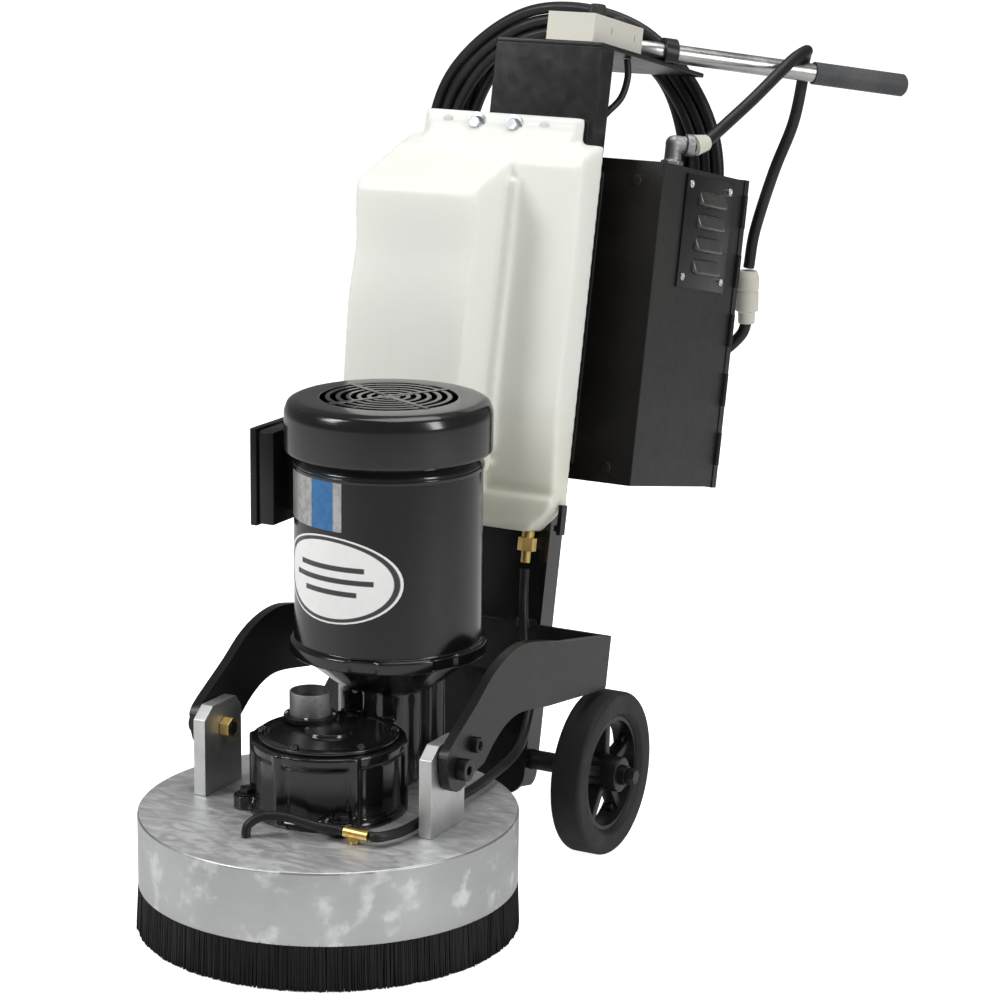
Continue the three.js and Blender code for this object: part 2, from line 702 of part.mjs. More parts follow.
let louvre = block(CAB_HALF + GAP, CAB_HALF + 2.3, 134, 286, 730, 877);
for (let k = 0; k < LOUVRES; k++) {
  const w = LOUVRE_TOP_W - k * LOUVRE_PITCH;
  const scoop = new THREE.Shape();
  scoop.moveTo(0, w - 9);
  scoop.lineTo(7, w - 9);
  scoop.lineTo(0, w + 8);
  louvre = louvre.add(
    plateXZ(scoop, 174, 262).translate([CAB_HALF + 2, 0, 0]),
  ).subtract(block(CAB_HALF - 1, CAB_HALF + 4, 178, 258, w - 10, w - 3));
}
add(chassis, "louvre_plate", louvre, "texturedBlack");

const doorFront = cabBack + GAP;
let door = block(-CAB_HALF - 1, CAB_HALF + 1, doorFront, doorFront + DOOR_T, CAB_LOW - 1, CAB_HIGH + 1)
  .subtract(block(-CAB_HALF + 4, CAB_HALF - 4, doorFront - 1, doorFront + DOOR_T - 2, CAB_LOW + 4, CAB_HIGH - 4));
for (let k = 0; k < 5; k++) {
  const w = CAB_LOW + 30 + k * 80;
  door = door.add(disc(4, w, w + 44, CAB_HALF + 1.5, doorFront + 4, 12));
}
door = door.subtract(spar(9, doorFront, doorFront + 20, -CAB_HALF + 22, 677, 16));
add(chassis, "cabinet_door", door, "texturedBlack");

const latch = spar(8.5, doorFront + DOOR_T - 8, doorFront + DOOR_T + 3, -CAB_HALF + 22, 677, 16)
  .add(block(-CAB_HALF + 18, -CAB_HALF + 26, doorFront + DOOR_T + 1, doorFront + DOOR_T + 9, 668, 700))
  .add(block(-CAB_HALF + 18, -CAB_HALF + 40, doorFront + DOOR_T - 8, doorFront + DOOR_T - 5, 670, 684));
add(chassis, "door_latch", latch, "steel");

// ---- shelf, control box and handle (leaning coordinates) ----------------------------------------
const shelf = block(-MAST_HALF, MAST_HALF, 0, SHELF_LENGTH, MAST_TOP + GAP, SHELF_TOP)
  .subtract(disc(6, MAST_TOP - 1, SHELF_TOP + 1, 56, 116, 16));
add(chassis, "shelf_plate", shelf, "blackPaint");

const boxLow = SHELF_TOP + GAP;
const boxHigh = boxLow + 36;
let controlBox = block(-6, 60, 1, 147, boxLow, boxHigh)
  .subtract(block(-3, 57, 4, 144, boxLow - 1, boxHigh - 3));
for (const v of [55, 125]) {
  controlBox = controlBox.subtract(disc(5, boxHigh - 5, boxHigh + 1, 36, v, 16));
  controlBox = controlBox.subtract(block(56, 62, v - 3, v - 1, boxLow + 16, boxLow + 24));
}
add(chassis, "control_box", controlBox, "cream");
const knob = disc(11, boxHigh + 1, boxHigh + 17, 36, 55, 24).add(disc(4.5, boxHigh - 12, boxHigh + 2, 36, 55, 16));
add(chassis, "speed_knob", knob, "texturedBlack");
const button = disc(9, boxHigh + 3, boxHigh + 10, 36, 125, 20).add(disc(4.5, boxHigh - 12, boxHigh + 4, 36, 125, 16));
add(chassis, "start_button", button, "texturedBlack");

const bend = BAR_BEND_X * Math.SQRT2;
const bar = new THREE.CurvePath();
const gripEndV = BAR_BEND_V + (BAR_END_X - BAR_BEND_X);
const corner = (x, v) => new THREE.Vector3(x, v, BAR_LIFT);
const apex = BAR_BEND_V - BAR_BEND_X;
bar.add(new THREE.LineCurve3(corner(-BAR_END_X, gripEndV), corner(-BAR_BEND_X, BAR_BEND_V)));
const barTurn = new THREE.CatmullRomCurve3(
  Array.from({ length: 7 }, (unused, i) => {
    const a = -0.75 * Math.PI + (i / 6) * 0.5 * Math.PI;
    return corner(bend * Math.cos(a), apex + bend * Math.SQRT2 + bend * Math.sin(a));
  }),
);
bar.add(barTurn);
bar.add(new THREE.LineCurve3(corner(BAR_BEND_X, BAR_BEND_V), corner(BAR_END_X, gripEndV)));
const barPoints = [];
for (const piece of bar.curves) {
  const count = piece === barTurn ? 8 : 3;
  for (let i = 0; i < count; i++) barPoints.push(piece.getPoint(i / count));
}
barPoints.push(corner(BAR_END_X, gripEndV));
const barCurve = new THREE.CatmullRomCurve3(barPoints, false, "centripetal");
add(chassis, "handle_bar", tubeAlong(barCurve, BAR_R, 12, 22), "aluminium");

for (const [side, sign] of [["left", -1], ["right", 1]]) {
  const clamp = spar(BAR_R + 7, -9, 9, 0, 0, 24)
    .add(block(-17, 17, -9, 9, -BAR_R - 1.2, -2))
    .subtract(spar(BAR_R + 1, -12, 12, 0, 0, 20))
    .subtract(block(-40, 40, -20, 20, -60, -BAR_R - 1.2))
    .rotate([0, 0, -45 * sign])
    .translate([sign * 66, BAR_BEND_V + 12, BAR_LIFT]);
  add(chassis, `bar_clamp_${side}`, clamp, "blackPaint");
  const grip = turned([
    [BAR_R + GAP, 0],
    [GRIP_R, 0],
    [GRIP_R, GRIP_LENGTH - 5],
    [GRIP_R - 5, GRIP_LENGTH],
    [0, GRIP_LENGTH],
    [0, GRIP_LENGTH - 3],
    [BAR_R + GAP, GRIP_LENGTH - 3],
  ], 24)
    .rotate([-90, 0, 0])
    .rotate([0, 0, -45 * sign])
    .translate([
      sign * (BAR_END_X + 3 - GRIP_LENGTH / Math.SQRT2 + 1),
      gripEndV + 3 - GRIP_LENGTH / Math.SQRT2 + 1,
      BAR_LIFT,
    ]);
  add(chassis, `grip_${side}`, grip, "rubber");
}

// ---- electrical fittings and cords --------------------------------------------------------------
const ELBOW_RISE = CAB_HIGH + 29;
const outlet = rod(11, 0, 16, 0, 0, 16).add(rod(14.5, 15, 26, 0, 0, 20))
  .rotate([0, 0, 40])
  .translate([ELBOW_X, ELBOW_V, ELBOW_RISE]);
const elbow = disc(15, CAB_HIGH + GAP, CAB_HIGH + 7, ELBOW_X, ELBOW_V, 6)
  .add(disc(11, CAB_HIGH + 5, ELBOW_RISE, ELBOW_X, ELBOW_V, 16))
  .add(solid(new THREE.SphereGeometry(11.5, 12, 8)).translate([ELBOW_X, ELBOW_V, ELBOW_RISE]))
  .add(outlet);
add(chassis, "cord_elbow", elbow, "galvanised");

const cableCurve = smoothCurve([
  [56, 116, MAST_TOP - 1],
  [58, 119, 992],
  [56, 110, 965],
  [46, 95, 944],
  [30, 88, 922],
  [14, 88, 904],
  [8, 90, CAB_HIGH + 2],
]);
add(chassis, "control_cable", tubeAlong(cableCurve, 4.5, 8, 12), "cord");

const hoseCurve = smoothCurve([
  [58, 385.4, 352],
  [59, 382, 330],
  [64, 372, 298],
  [73, 361, 250],
  [90, 345, 205],
  [106, 300, 172],
  [122, 240, 158],
  [132, 140, 154],
  [133, 66, 153],
  [134, 0, 153],
  [135, -30, 153],
  [133, -60, 153],
  [127, -80, 153.5],
  [120, -92, 154],
  [112.5, -94, 154],
]);
add(head, "water_hose", tubeAlong(hoseCurve, 6, 8, 30), "rubber");

const cordCurve = smoothCurve([
  [148.6, 677, 864.2],
  [155, 687, 866],
  [160, 705, 874],
  [168, 740, 891],
  [182, 785, 917],
  [196, 835, 947],
  [202, 865, 962],
  [206, 885, 969],
  [207, 901, 971.5],
  [200, 915, 966],
  [194, 923, 950],
  [192, 925, 928],
  [181, 924, 870],
  [156, 922, 803],
  [131, 922, 721],
  [123, 922, 668],
]);
add(head, "supply_cord", tubeAlong(cordCurve, CORD_R, 8, 30), "cord");
add(head, "cord_plug", disc(16, 606, 664, 122, 922, 20).add(disc(12, 590, 607, 122, 922, 16)), "cream");

const COIL = { x: -130, y0: 864, y1: 898, z: 790, inner: 185, outer: 232 };
const coil = turned([
  [COIL.inner, -17],
  [COIL.inner + 8, -17],
  [COIL.outer, -12],
  [COIL.outer, 12],
  [COIL.inner + 8, 17],
  [COIL.inner, 12],
], 36).rotate([90, 0, 0]).translate([COIL.x, (COIL.y0 + COIL.y1) / 2, COIL.z]);
add(head, "cord_coil", coil, "cord");

export default machine;
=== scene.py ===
"""Looks of a walk-behind concrete grinder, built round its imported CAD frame.

Every sub-assembly is a class whose fields hold its sizes in metres. Head coordinates have the head's axis
at the origin; leaning coordinates (x, v, w) follow the mast, v behind its front face and w up along it.
"""

import json
import logging
import math
import random
from collections.abc import Callable, Sequence
from dataclasses import dataclass, field
from enum import Enum

import bmesh
import bpy
from mathutils import Matrix, Vector

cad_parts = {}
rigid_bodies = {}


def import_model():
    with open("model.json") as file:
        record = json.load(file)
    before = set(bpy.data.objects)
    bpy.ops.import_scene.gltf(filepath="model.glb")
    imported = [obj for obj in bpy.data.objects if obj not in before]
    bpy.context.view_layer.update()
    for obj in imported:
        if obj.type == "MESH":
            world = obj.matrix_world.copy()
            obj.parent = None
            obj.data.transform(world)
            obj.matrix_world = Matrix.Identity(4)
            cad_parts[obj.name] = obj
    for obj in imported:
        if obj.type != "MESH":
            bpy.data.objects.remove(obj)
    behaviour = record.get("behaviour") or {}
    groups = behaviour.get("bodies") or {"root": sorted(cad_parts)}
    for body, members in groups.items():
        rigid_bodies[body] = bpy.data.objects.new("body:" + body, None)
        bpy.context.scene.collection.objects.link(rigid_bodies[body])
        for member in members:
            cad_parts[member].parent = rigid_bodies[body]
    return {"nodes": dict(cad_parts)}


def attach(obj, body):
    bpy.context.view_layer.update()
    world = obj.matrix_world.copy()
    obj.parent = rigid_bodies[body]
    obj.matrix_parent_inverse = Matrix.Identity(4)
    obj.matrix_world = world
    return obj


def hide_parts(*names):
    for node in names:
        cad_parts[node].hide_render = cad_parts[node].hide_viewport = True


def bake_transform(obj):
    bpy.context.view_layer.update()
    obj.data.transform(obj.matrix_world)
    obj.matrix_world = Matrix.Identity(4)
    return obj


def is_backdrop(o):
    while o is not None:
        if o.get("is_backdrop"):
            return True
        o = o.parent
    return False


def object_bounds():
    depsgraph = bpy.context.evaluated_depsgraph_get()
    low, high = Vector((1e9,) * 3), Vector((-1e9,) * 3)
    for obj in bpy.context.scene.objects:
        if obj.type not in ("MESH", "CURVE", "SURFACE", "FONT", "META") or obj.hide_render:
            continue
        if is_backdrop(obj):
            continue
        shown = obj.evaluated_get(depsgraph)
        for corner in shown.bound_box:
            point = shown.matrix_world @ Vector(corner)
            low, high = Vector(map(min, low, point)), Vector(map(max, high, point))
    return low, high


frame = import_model()

log = logging.getLogger("grinder")

Point = tuple[float, float, float]
Profile = Sequence[tuple[float, float]]

HEAD_SHIFT = -0.39136
MAST_FOOT_Y = 0.340
MAST_LEAN = math.radians(11.7)
HEAD = Matrix.Translation((0.0, HEAD_SHIFT, 0.0))
LEAN = HEAD @ Matrix.Translation((0.0, MAST_FOOT_Y, 0.0)) @ Matrix.Rotation(-MAST_LEAN, 4, "X")
MOTOR_Y = 0.140
SMOOTH_ANGLE = math.radians(38)
FINE = 128
MEDIUM = 64
SMALL = 24


class Body(Enum):
    """Rigid bodies of the frame that pieces ride on."""

    CHASSIS = "chassis"
    HEAD = "head"
    WHEEL_LEFT = "wheel_left"
    WHEEL_RIGHT = "wheel_right"
    KNOB = "knob"
    BUTTON = "button"


# ---- shader sockets -----------------------------------------------------------------------------
class Value:
    """A scalar shader socket with arithmetic operators."""

    def __init__(self, tree: bpy.types.NodeTree, socket: bpy.types.NodeSocket) -> None:
        """Wrap a socket.

        Args:
            tree: node tree that owns the socket.
            socket: output socket holding the value.
        """
        self.tree = tree
        self.socket = socket

    def math(self, operation: str, *others: "Value | float", clamp: bool = False) -> "Value":
        """Apply a Math node.

        Args:
            operation: Math node operation.
            others: further operands.
            clamp: keep the result between 0 and 1.

        Returns:
            The result socket.
        """
        node = self.tree.nodes.new("ShaderNodeMath")
        node.operation = operation
        node.use_clamp = clamp
        self.tree.links.new(self.socket, node.inputs[0])
        for slot, other in enumerate(others, start=1):
            if isinstance(other, Value):
                self.tree.links.new(other.socket, node.inputs[slot])
            else:
                node.inputs[slot].default_value = other
        return Value(self.tree, node.outputs[0])

    def __add__(self, other: "Value | float") -> "Value":
        """Return the sum."""
        return self.math("ADD", other)

    def __sub__(self, other: "Value | float") -> "Value":
        """Return the difference."""
        return self.math("SUBTRACT", other)

    def __mul__(self, other: "Value | float") -> "Value":
        """Return the product."""
        return self.math("MULTIPLY", other)

    def step(self, low: float, high: float) -> "Value":
        """Rise smoothly from 0 to 1 between two values.

        Args:
            low: value where the result leaves 0.
            high: value where the result reaches 1.

        Returns:
            The eased share.
        """
        node = self.tree.nodes.new("ShaderNodeMapRange")
        node.interpolation_type = "SMOOTHSTEP"
        self.tree.links.new(self.socket, node.inputs["Value"])
        node.inputs["From Min"].default_value = low
        node.inputs["From Max"].default_value = high
        return Value(self.tree, node.outputs["Result"])


class Shader:
    """Builds one Principled material from procedural fields."""

    def __init__(self, name: str) -> None:
        """Start a material.

        Args:
            name: material name.
        """
        self.material = bpy.data.materials.new(name)
        self.material.use_nodes = True
        self.tree = self.material.node_tree
        self.surface = self.tree.nodes["Principled BSDF"]
        self.place = self.add("ShaderNodeTexCoord").outputs["Object"]

    def add(self, kind: str, **settings: object) -> bpy.types.Node:
        """Add a node.

        Args:
            kind: node type.
            settings: attributes to set on it.

        Returns:
            The node.
        """
        node = self.tree.nodes.new(kind)
        for key, value in settings.items():
            setattr(node, key, value)
        return node

    def scaled(self, scale: Point) -> bpy.types.NodeSocket:
        """Multiply the object coordinates.

        Args:
            scale: factors along X, Y and Z.

        Returns:
            The vector socket.
        """
        node = self.add("ShaderNodeVectorMath", operation="MULTIPLY")
        self.tree.links.new(self.place, node.inputs[0])
        node.inputs[1].default_value = scale
        return node.outputs[0]

    def noise(self, scale: float, detail: float = 3.0, stretch: Point = (1.0, 1.0, 1.0)) -> Value:
        """Noise over the object.

        Args:
            scale: cells per metre.
            detail: octaves.
            stretch: factors on the coordinates.

        Returns:
            The noise value, about 0.5 on average.
        """
        node = self.add("ShaderNodeTexNoise")
        node.inputs["Scale"].default_value = scale
        node.inputs["Detail"].default_value = detail
        self.tree.links.new(self.scaled(stretch), node.inputs["Vector"])
        return Value(self.tree, node.outputs["Fac"])

    def axis(self, name: str) -> Value:
        """One coordinate.

        Args:
            name: X, Y or Z.

        Returns:
            The coordinate in metres.
        """
        node = self.add("ShaderNodeSeparateXYZ")
        self.tree.links.new(self.place, node.inputs[0])
        return Value(self.tree, node.outputs[name])

    def mix(self, share: Value, low: object, high: object) -> bpy.types.NodeSocket:
        """Mix two colours.

        Args:
            share: 0 for the first, 1 for the second.
            low: colour triple or socket.
            high: colour triple or socket.

        Returns:
            The colour socket.
        """
        node = self.add("ShaderNodeMix", data_type="RGBA")
        self.tree.links.new(share.socket, node.inputs[0])
        for slot, colour in ((6, low), (7, high)):
            if isinstance(colour, bpy.types.NodeSocket):
                self.tree.links.new(colour, node.inputs[slot])
            else:
                node.inputs[slot].default_value = (*colour, 1.0)
        return node.outputs[2]

    def colour(self, socket: bpy.types.NodeSocket) -> None:
        """Feed the base colour.

        Args:
            socket: colour socket.
        """
        self.tree.links.new(socket, self.surface.inputs["Base Color"])

    def rough(self, value: Value) -> None:
        """Feed the roughness.

        Args:
            value: roughness field.
        """
        self.tree.links.new(value.socket, self.surface.inputs["Roughness"])

    def bump(self, height: Value, depth: float) -> None:
        """Feed the normal from a height field.

        Args:
            height: heights, 0 to 1.
            depth: height of 1, in metres.
        """
        node = self.add("ShaderNodeBump")
        node.inputs["Distance"].default_value = depth
        self.tree.links.new(height.socket, node.inputs["Height"])
        self.tree.links.new(node.outputs["Normal"], self.surface.inputs["Normal"])

    def fixed(self, **values: float) -> None:
        """Set constants on the surface node.

        Args:
            values: socket names with underscores for spaces, and their values.
        """
        for key, value in values.items():
            self.surface.inputs[key.replace("_", " ")].default_value = value


# ---- finishes -----------------------------------------------------------------------------------
@dataclass(frozen=True)
class Paint:
    """Black or coloured paint with dust and slight orange peel."""

    name: str
    colour: Point
    gloss: float = 0.2
    grain: float = 260.0
    depth: float = 0.00012
    dust: float = 0.04
    sheen: float = 0.28

    def build(self) -> bpy.types.Material:
        """Make the material.

        Returns:
            The material.
        """
        s = Shader(self.name)
        dirt = s.noise(9.0, 5.0).step(0.45, 0.75) * self.dust
        fine = s.noise(70.0, 4.0)
        s.colour(s.mix(dirt + fine * 0.004, self.colour, (0.42, 0.4, 0.37)))
        s.rough(fine * 0.14 + dirt * 2.0 + self.gloss)
        s.bump(s.noise(self.grain, 2.0), self.depth)
        s.fixed(Specular_IOR_Level=self.sheen)
        return s.material


@dataclass(frozen=True)
class Metal:
    """Bare metal with brushing, smears and stains."""

    name: str
    colour: Point
    stain: Point
    gloss: float = 0.3
    brush: Point = (1.0, 1.0, 12.0)
    cloud: float = 7.0
    spots: float = 0.25

    def build(self) -> bpy.types.Material:
        """Make the material.

        Returns:
            The material.
        """
        s = Shader(self.name)
        streak = s.noise(60.0, 5.0, self.brush)
        cloud = s.noise(self.cloud, 5.0)
        blotch = s.noise(self.cloud * 4.0, 4.0).step(0.52, 0.7) * self.spots
        tone = s.mix(cloud.step(0.3, 0.7), tuple(0.8 * c for c in self.colour), self.colour)
        s.colour(s.mix(blotch, tone, self.stain))
        s.rough(streak * 0.25 + blotch * 0.3 + cloud * 0.15 + (self.gloss - 0.18))
        s.bump(streak, 0.00006)
        s.fixed(Metallic=1.0)
        return s.material


@dataclass(frozen=True)
class Milled:
    """Milled plate with overlapping circular tool marks about the head axis."""

    name: str
    colour: Point
    stain: Point

    def build(self) -> bpy.types.Material:
        """Make the material.

        Returns:
            The material.
        """
        s = Shader(self.name)
        wave = s.add("ShaderNodeTexNoise")
        wave.inputs["Scale"].default_value = 16.0
        wave.inputs["Detail"].default_value = 6.0
        wave.inputs["Distortion"].default_value = 2.4
        s.tree.links.new(s.scaled((1.0, 2.5, 4.0)), wave.inputs["Vector"])
        swirl = Value(s.tree, wave.outputs["Fac"])
        cloud = s.noise(8.0, 6.0)
        stains = s.noise(21.0, 5.0).step(0.55, 0.72) * 0.6
        fine = s.noise(160.0, 3.0, (1.0, 6.0, 1.0))
        tone = s.mix(swirl.step(0.3, 0.7), tuple(0.74 * c for c in self.colour), self.colour)
        s.colour(s.mix(stains, tone, self.stain))
        s.rough(swirl * 0.3 + cloud * 0.2 + fine * 0.12 + 0.14)
        s.bump(fine + swirl, 0.00012)
        s.fixed(Metallic=0.72)
        return s.material


@dataclass(frozen=True)
class Rubber:
    """Rubber or cord jacket with faint bloom."""

    name: str
    colour: Point
    gloss: float = 0.55
    grain: float = 420.0
    depth: float = 0.00015
    bloom: float = 0.1

    def build(self) -> bpy.types.Material:
        """Make the material.

        Returns:
            The material.
        """
        s = Shader(self.name)
        bloom = s.noise(14.0, 5.0).step(0.4, 0.8) * self.bloom
        s.colour(s.mix(bloom, self.colour, (0.3, 0.29, 0.27)))
        s.rough(s.noise(50.0) * 0.2 + (self.gloss - 0.1))
        s.bump(s.noise(self.grain, 3.0), self.depth)
        s.fixed(Specular_IOR_Level=0.3)
        return s.material


@dataclass(frozen=True)
class Milky:
    """Translucent blow-moulded plastic, yellower and dirtier towards its foot."""

    name: str
    colour: Point
    low_colour: Point
    low: float
    high: float

    def build(self) -> bpy.types.Material:
        """Make the material.

        Returns:
            The material.
        """
        s = Shader(self.name)
        cloud = s.noise(6.0, 4.0)
        fall = s.axis("Z") + (cloud - 0.5) * 0.16
        age = (fall.step(self.low, self.high) * -1.0) + 1.0
        base = s.mix(age * 0.5, self.colour, self.low_colour)
        smear = s.noise(15.0, 6.0, (1.0, 1.0, 0.4)).step(0.6, 0.8) * 0.08
        s.colour(s.mix(smear, base, (0.52, 0.47, 0.36)))
        s.rough(s.noise(24.0) * 0.15 + 0.28)
        s.bump(s.noise(30.0, 2.0), 0.0006)
        s.fixed(Subsurface_Weight=0.35, Subsurface_Scale=0.03, Specular_IOR_Level=0.4)
        s.surface.inputs["Subsurface Radius"].default_value = (1.0, 0.9, 0.7)
        return s.material


@dataclass(frozen=True)
class Label:
    """A printed label laid over UV, with a border and plain blank bars."""

    name: str
    ground: Point
    ink: Point
    oval: bool
    metal: float = 0.0

    def build(self) -> bpy.types.Material:
        """Make the material.

        Returns:
            The material.
        """
        s = Shader(self.name)
        uv = s.add("ShaderNodeUVMap")
        parts = s.add("ShaderNodeSeparateXYZ")
        s.tree.links.new(uv.outputs[0], parts.inputs[0])
        u = Value(s.tree, parts.outputs["X"])
        v = Value(s.tree, parts.outputs["Y"])
        du = (u - 0.5) * 2.0
        dv = (v - 0.5) * 2.0
        far = (du * du + dv * dv).math("SQRT")
        mottle = s.noise(120.0, 5.0).step(0.45, 0.6)
        ground = s.mix(mottle * (0.5 * self.metal + 0.04), self.ground, tuple(0.6 * c for c in self.ground))
        if self.oval:
            ring = far.step(0.87, 0.89) * (far.step(0.95, 0.97) * -1.0 + 1.0)
            marks = ring
            for height, reach in ((0.28, 0.5), (0.0, 0.62), (-0.28, 0.4)):
                off = (dv - height).math("ABSOLUTE")
                bar = off.step(0.05, 0.07) * -1.0 + 1.0
                inside = du.math("ABSOLUTE").step(reach, reach + 0.02) * -1.0 + 1.0
                marks = marks + bar * inside
        else:
            marks = u.step(0.62, 0.63) * (u.step(0.9, 0.91) * -1.0 + 1.0)
        s.colour(s.mix(marks.math("MINIMUM", 1.0), ground, self.ink))
        s.rough(mottle * 0.2 + 0.3)
        s.fixed(Metallic=self.metal)
        return s.material


@dataclass
class Palette:
    """Every finish of the machine, built once."""

    made: dict[str, bpy.types.Material] = field(default_factory=dict)

    def build(self) -> None:
        """Make all materials."""
        black = (0.006, 0.006, 0.0065)
        finishes = (
            Paint("gloss_black", black, 0.1, 60.0, 0.00006, 0.012, 0.5),
            Paint("satin_black", (0.007, 0.007, 0.0072), 0.26, 120.0, 0.00006, 0.02),
            Paint("textured_black", (0.0058, 0.005, 0.0045), 0.32, 420.0, 0.0003, 0.02),
            # louvre hoods: the plate's black painted lighter, a painted highlight for the light that the
            # raised hoods catch
            Paint("louvre_black_painted_highlight", (0.034, 0.033, 0.031), 0.2, 200.0, 0.00005, 0.06, 0.6),
            Paint("cream", (0.62, 0.6, 0.53), 0.4, 200.0, 0.0001, 0.06),
            Paint("black_plastic", (0.012, 0.012, 0.012), 0.34, 300.0, 0.0001, 0.06),
            Metal(
                "band_aluminium", (0.45, 0.455, 0.455), (0.78, 0.785, 0.79), 0.4, (1.0, 1.0, 4.0), 7.0, 0.7
            ),
            Milled("milled_aluminium", (0.74, 0.745, 0.75), (0.4, 0.38, 0.35)),
            Metal("post_aluminium", (0.6, 0.61, 0.6), (0.4, 0.4, 0.38), 0.42, (1.0, 8.0, 1.0), 14.0, 0.3),
            Metal("tube_aluminium", (0.42, 0.42, 0.41), (0.5, 0.48, 0.44), 0.3, (1.0, 1.0, 1.0), 20.0, 0.2),
            Metal("steel", (0.5, 0.5, 0.51), (0.24, 0.2, 0.17), 0.36, (1.0, 1.0, 1.0), 20.0, 0.3),
            Metal("bright_steel", (0.72, 0.75, 0.78), (0.4, 0.4, 0.42), 0.26, (1.0, 1.0, 1.0), 60.0, 0.1),
            Metal("galvanised", (0.34, 0.345, 0.34), (0.2, 0.19, 0.17), 0.52, (1.0, 1.0, 3.0), 40.0, 0.4),
            Metal("brass", (0.66, 0.46, 0.16), (0.3, 0.2, 0.08), 0.3, (1.0, 1.0, 1.0), 50.0, 0.3),
            Metal("copper", (0.5, 0.22, 0.1), (0.2, 0.1, 0.06), 0.4, (1.0, 1.0, 1.0), 50.0, 0.3),
            Rubber("tyre_rubber", (0.014, 0.0143, 0.0148), 0.62, 300.0, 0.0002, 0.05),
            Rubber("grip_rubber", (0.055, 0.057, 0.06), 0.55, 500.0, 0.0001, 0.15),
            Rubber("cord_rubber", (0.01, 0.01, 0.0105), 0.42, 500.0, 0.0001, 0.05),
            Rubber("bristle", (0.004, 0.004, 0.0045), 0.6, 900.0, 0.0001, 0.01),
            Milky("milky_plastic", (0.79, 0.8, 0.745), (0.62, 0.57, 0.43), 0.40, 0.62),
            Label("foil_label", (0.42, 0.42, 0.41), (0.05, 0.17, 0.38), False, 0.7),
            Label("oval_label", (0.86, 0.86, 0.85), (0.03, 0.03, 0.03), True),
        )
        for finish in finishes:
            self.made[finish.name] = finish.build()

    def __getitem__(self, name: str) -> bpy.types.Material:
        """Return the material of that name."""
        return self.made[name]


palette = Palette()


# ---- mesh helpers -------------------------------------------------------------------------------
@dataclass
class Shape:
    """Points and faces in local coordinates, that can be moved and merged."""

    points: list[Vector] = field(default_factory=list)
    faces: list[tuple[int, ...]] = field(default_factory=list)

    def merge(self, other: "Shape") -> "Shape":
        """Add another shape to this one.

        Args:
            other: shape to copy in.

        Returns:
            This shape.
        """
        base = len(self.points)
        self.points += other.points
        self.faces += [tuple(i + base for i in f) for f in other.faces]
        return self

    def moved(self, matrix: Matrix) -> "Shape":
        """Copy of the shape under a matrix.

        Args:
            matrix: transform.

        Returns:
            The moved copy.
        """
        flip = matrix.determinant() < 0
        faces = [tuple(reversed(f)) for f in self.faces] if flip else list(self.faces)
        return Shape([matrix @ p for p in self.points], faces)

    def mesh(self, name: str) -> bpy.types.Mesh:
        """Turn the shape into a smooth-shaded mesh.

        Args:
            name: mesh name.

        Returns:
            The mesh.
        """
        made = bpy.data.meshes.new(name)
        made.from_pydata([tuple(p) for p in self.points], [], self.faces)
        worker = bmesh.new()
        worker.from_mesh(made)
        bmesh.ops.recalc_face_normals(worker, faces=worker.faces)
        worker.to_mesh(made)
        worker.free()
        made.shade_smooth()
        made.set_sharp_from_angle(angle=SMOOTH_ANGLE)
        return made


def rounded(profile: Profile, radius: float, steps: int = 3) -> list[tuple[float, float]]:
    """Round the corners of an open profile.

    Args:
        profile: points (radius, height).
        radius: corner radius.
        steps: segments on each corner.

    Returns:
        The rounded profile.
    """
    out = [profile[0]]
    for before, here, after in zip(profile, profile[1:], profile[2:]):
        corner = Vector(here)
        back = Vector(before) - corner
        ahead = Vector(after) - corner
        reach = min(radius, back.length * 0.45, ahead.length * 0.45)
        start = corner + back.normalized() * reach
        end = corner + ahead.normalized() * reach
        for i in range(steps + 1):
            t = i / steps
            p = start * (1 - t) ** 2 + corner * (2 * t * (1 - t)) + end * t**2
            out.append((p.x, p.y))
    out.append(profile[-1])
    return out


def lathe(
    profile: Profile,
    segments: int = MEDIUM,
    closed: bool = False,
    reach: Callable[[float, float, float], float] | None = None,
) -> Shape:
    """Turn a profile about Z.

    Args:
        profile: points (radius, height).
        segments: steps round the axis.
        closed: join the last point to the first.
        reach: gives the radius from (radius, height, angle), for flutes and spokes.

    Returns:
        The turned shape.
    """
    shape = Shape()
    rows: list[list[int]] = []
    for r, z in profile:
        if r < 1e-7:
            shape.points.append(Vector((0.0, 0.0, z)))
            rows.append([len(shape.points) - 1] * segments)
            continue
        row = []
        for k in range(segments):
            a = 2 * math.pi * k / segments
            wide = reach(r, z, a) if reach else r
            row.append(len(shape.points))
            shape.points.append(Vector((wide * math.cos(a), wide * math.sin(a), z)))
        rows.append(row)
    pairs = list(zip(rows, rows[1:]))
    if closed:
        pairs.append((rows[-1], rows[0]))
    for low, high in pairs:
        for k in range(segments):
            n = (k + 1) % segments
            ring = [low[k], low[n], high[n], high[k]]
            kept = [v for i, v in enumerate(ring) if v not in ring[:i]]
            if len(kept) >= 3:
                shape.faces.append(tuple(kept))
    return shape


def slab(low: Point, high: Point, bevel: float = 0.0, steps: int = 2) -> Shape:
    """Box with rounded edges.

    Args:
        low: lowest corner.
        high: highest corner.
        bevel: edge radius.
        steps: segments on each edge.

    Returns:
        The box.
    """
    worker = bmesh.new()
    bmesh.ops.create_cube(worker, size=1.0)
    a, b = Vector(low), Vector(high)
    for vert in worker.verts:
        vert.co = Vector(((a[i] + b[i]) / 2 + vert.co[i] * (b[i] - a[i])) for i in range(3))
    if bevel > 0:
        bmesh.ops.bevel(
            worker, geom=worker.edges[:], offset=bevel, segments=steps, profile=0.5, affect="EDGES"
        )
    worker.verts.index_update()
    shape = Shape(
        [v.co.copy() for v in worker.verts], [tuple(v.index for v in f.verts) for f in worker.faces]
    )
    worker.free()
    return shape


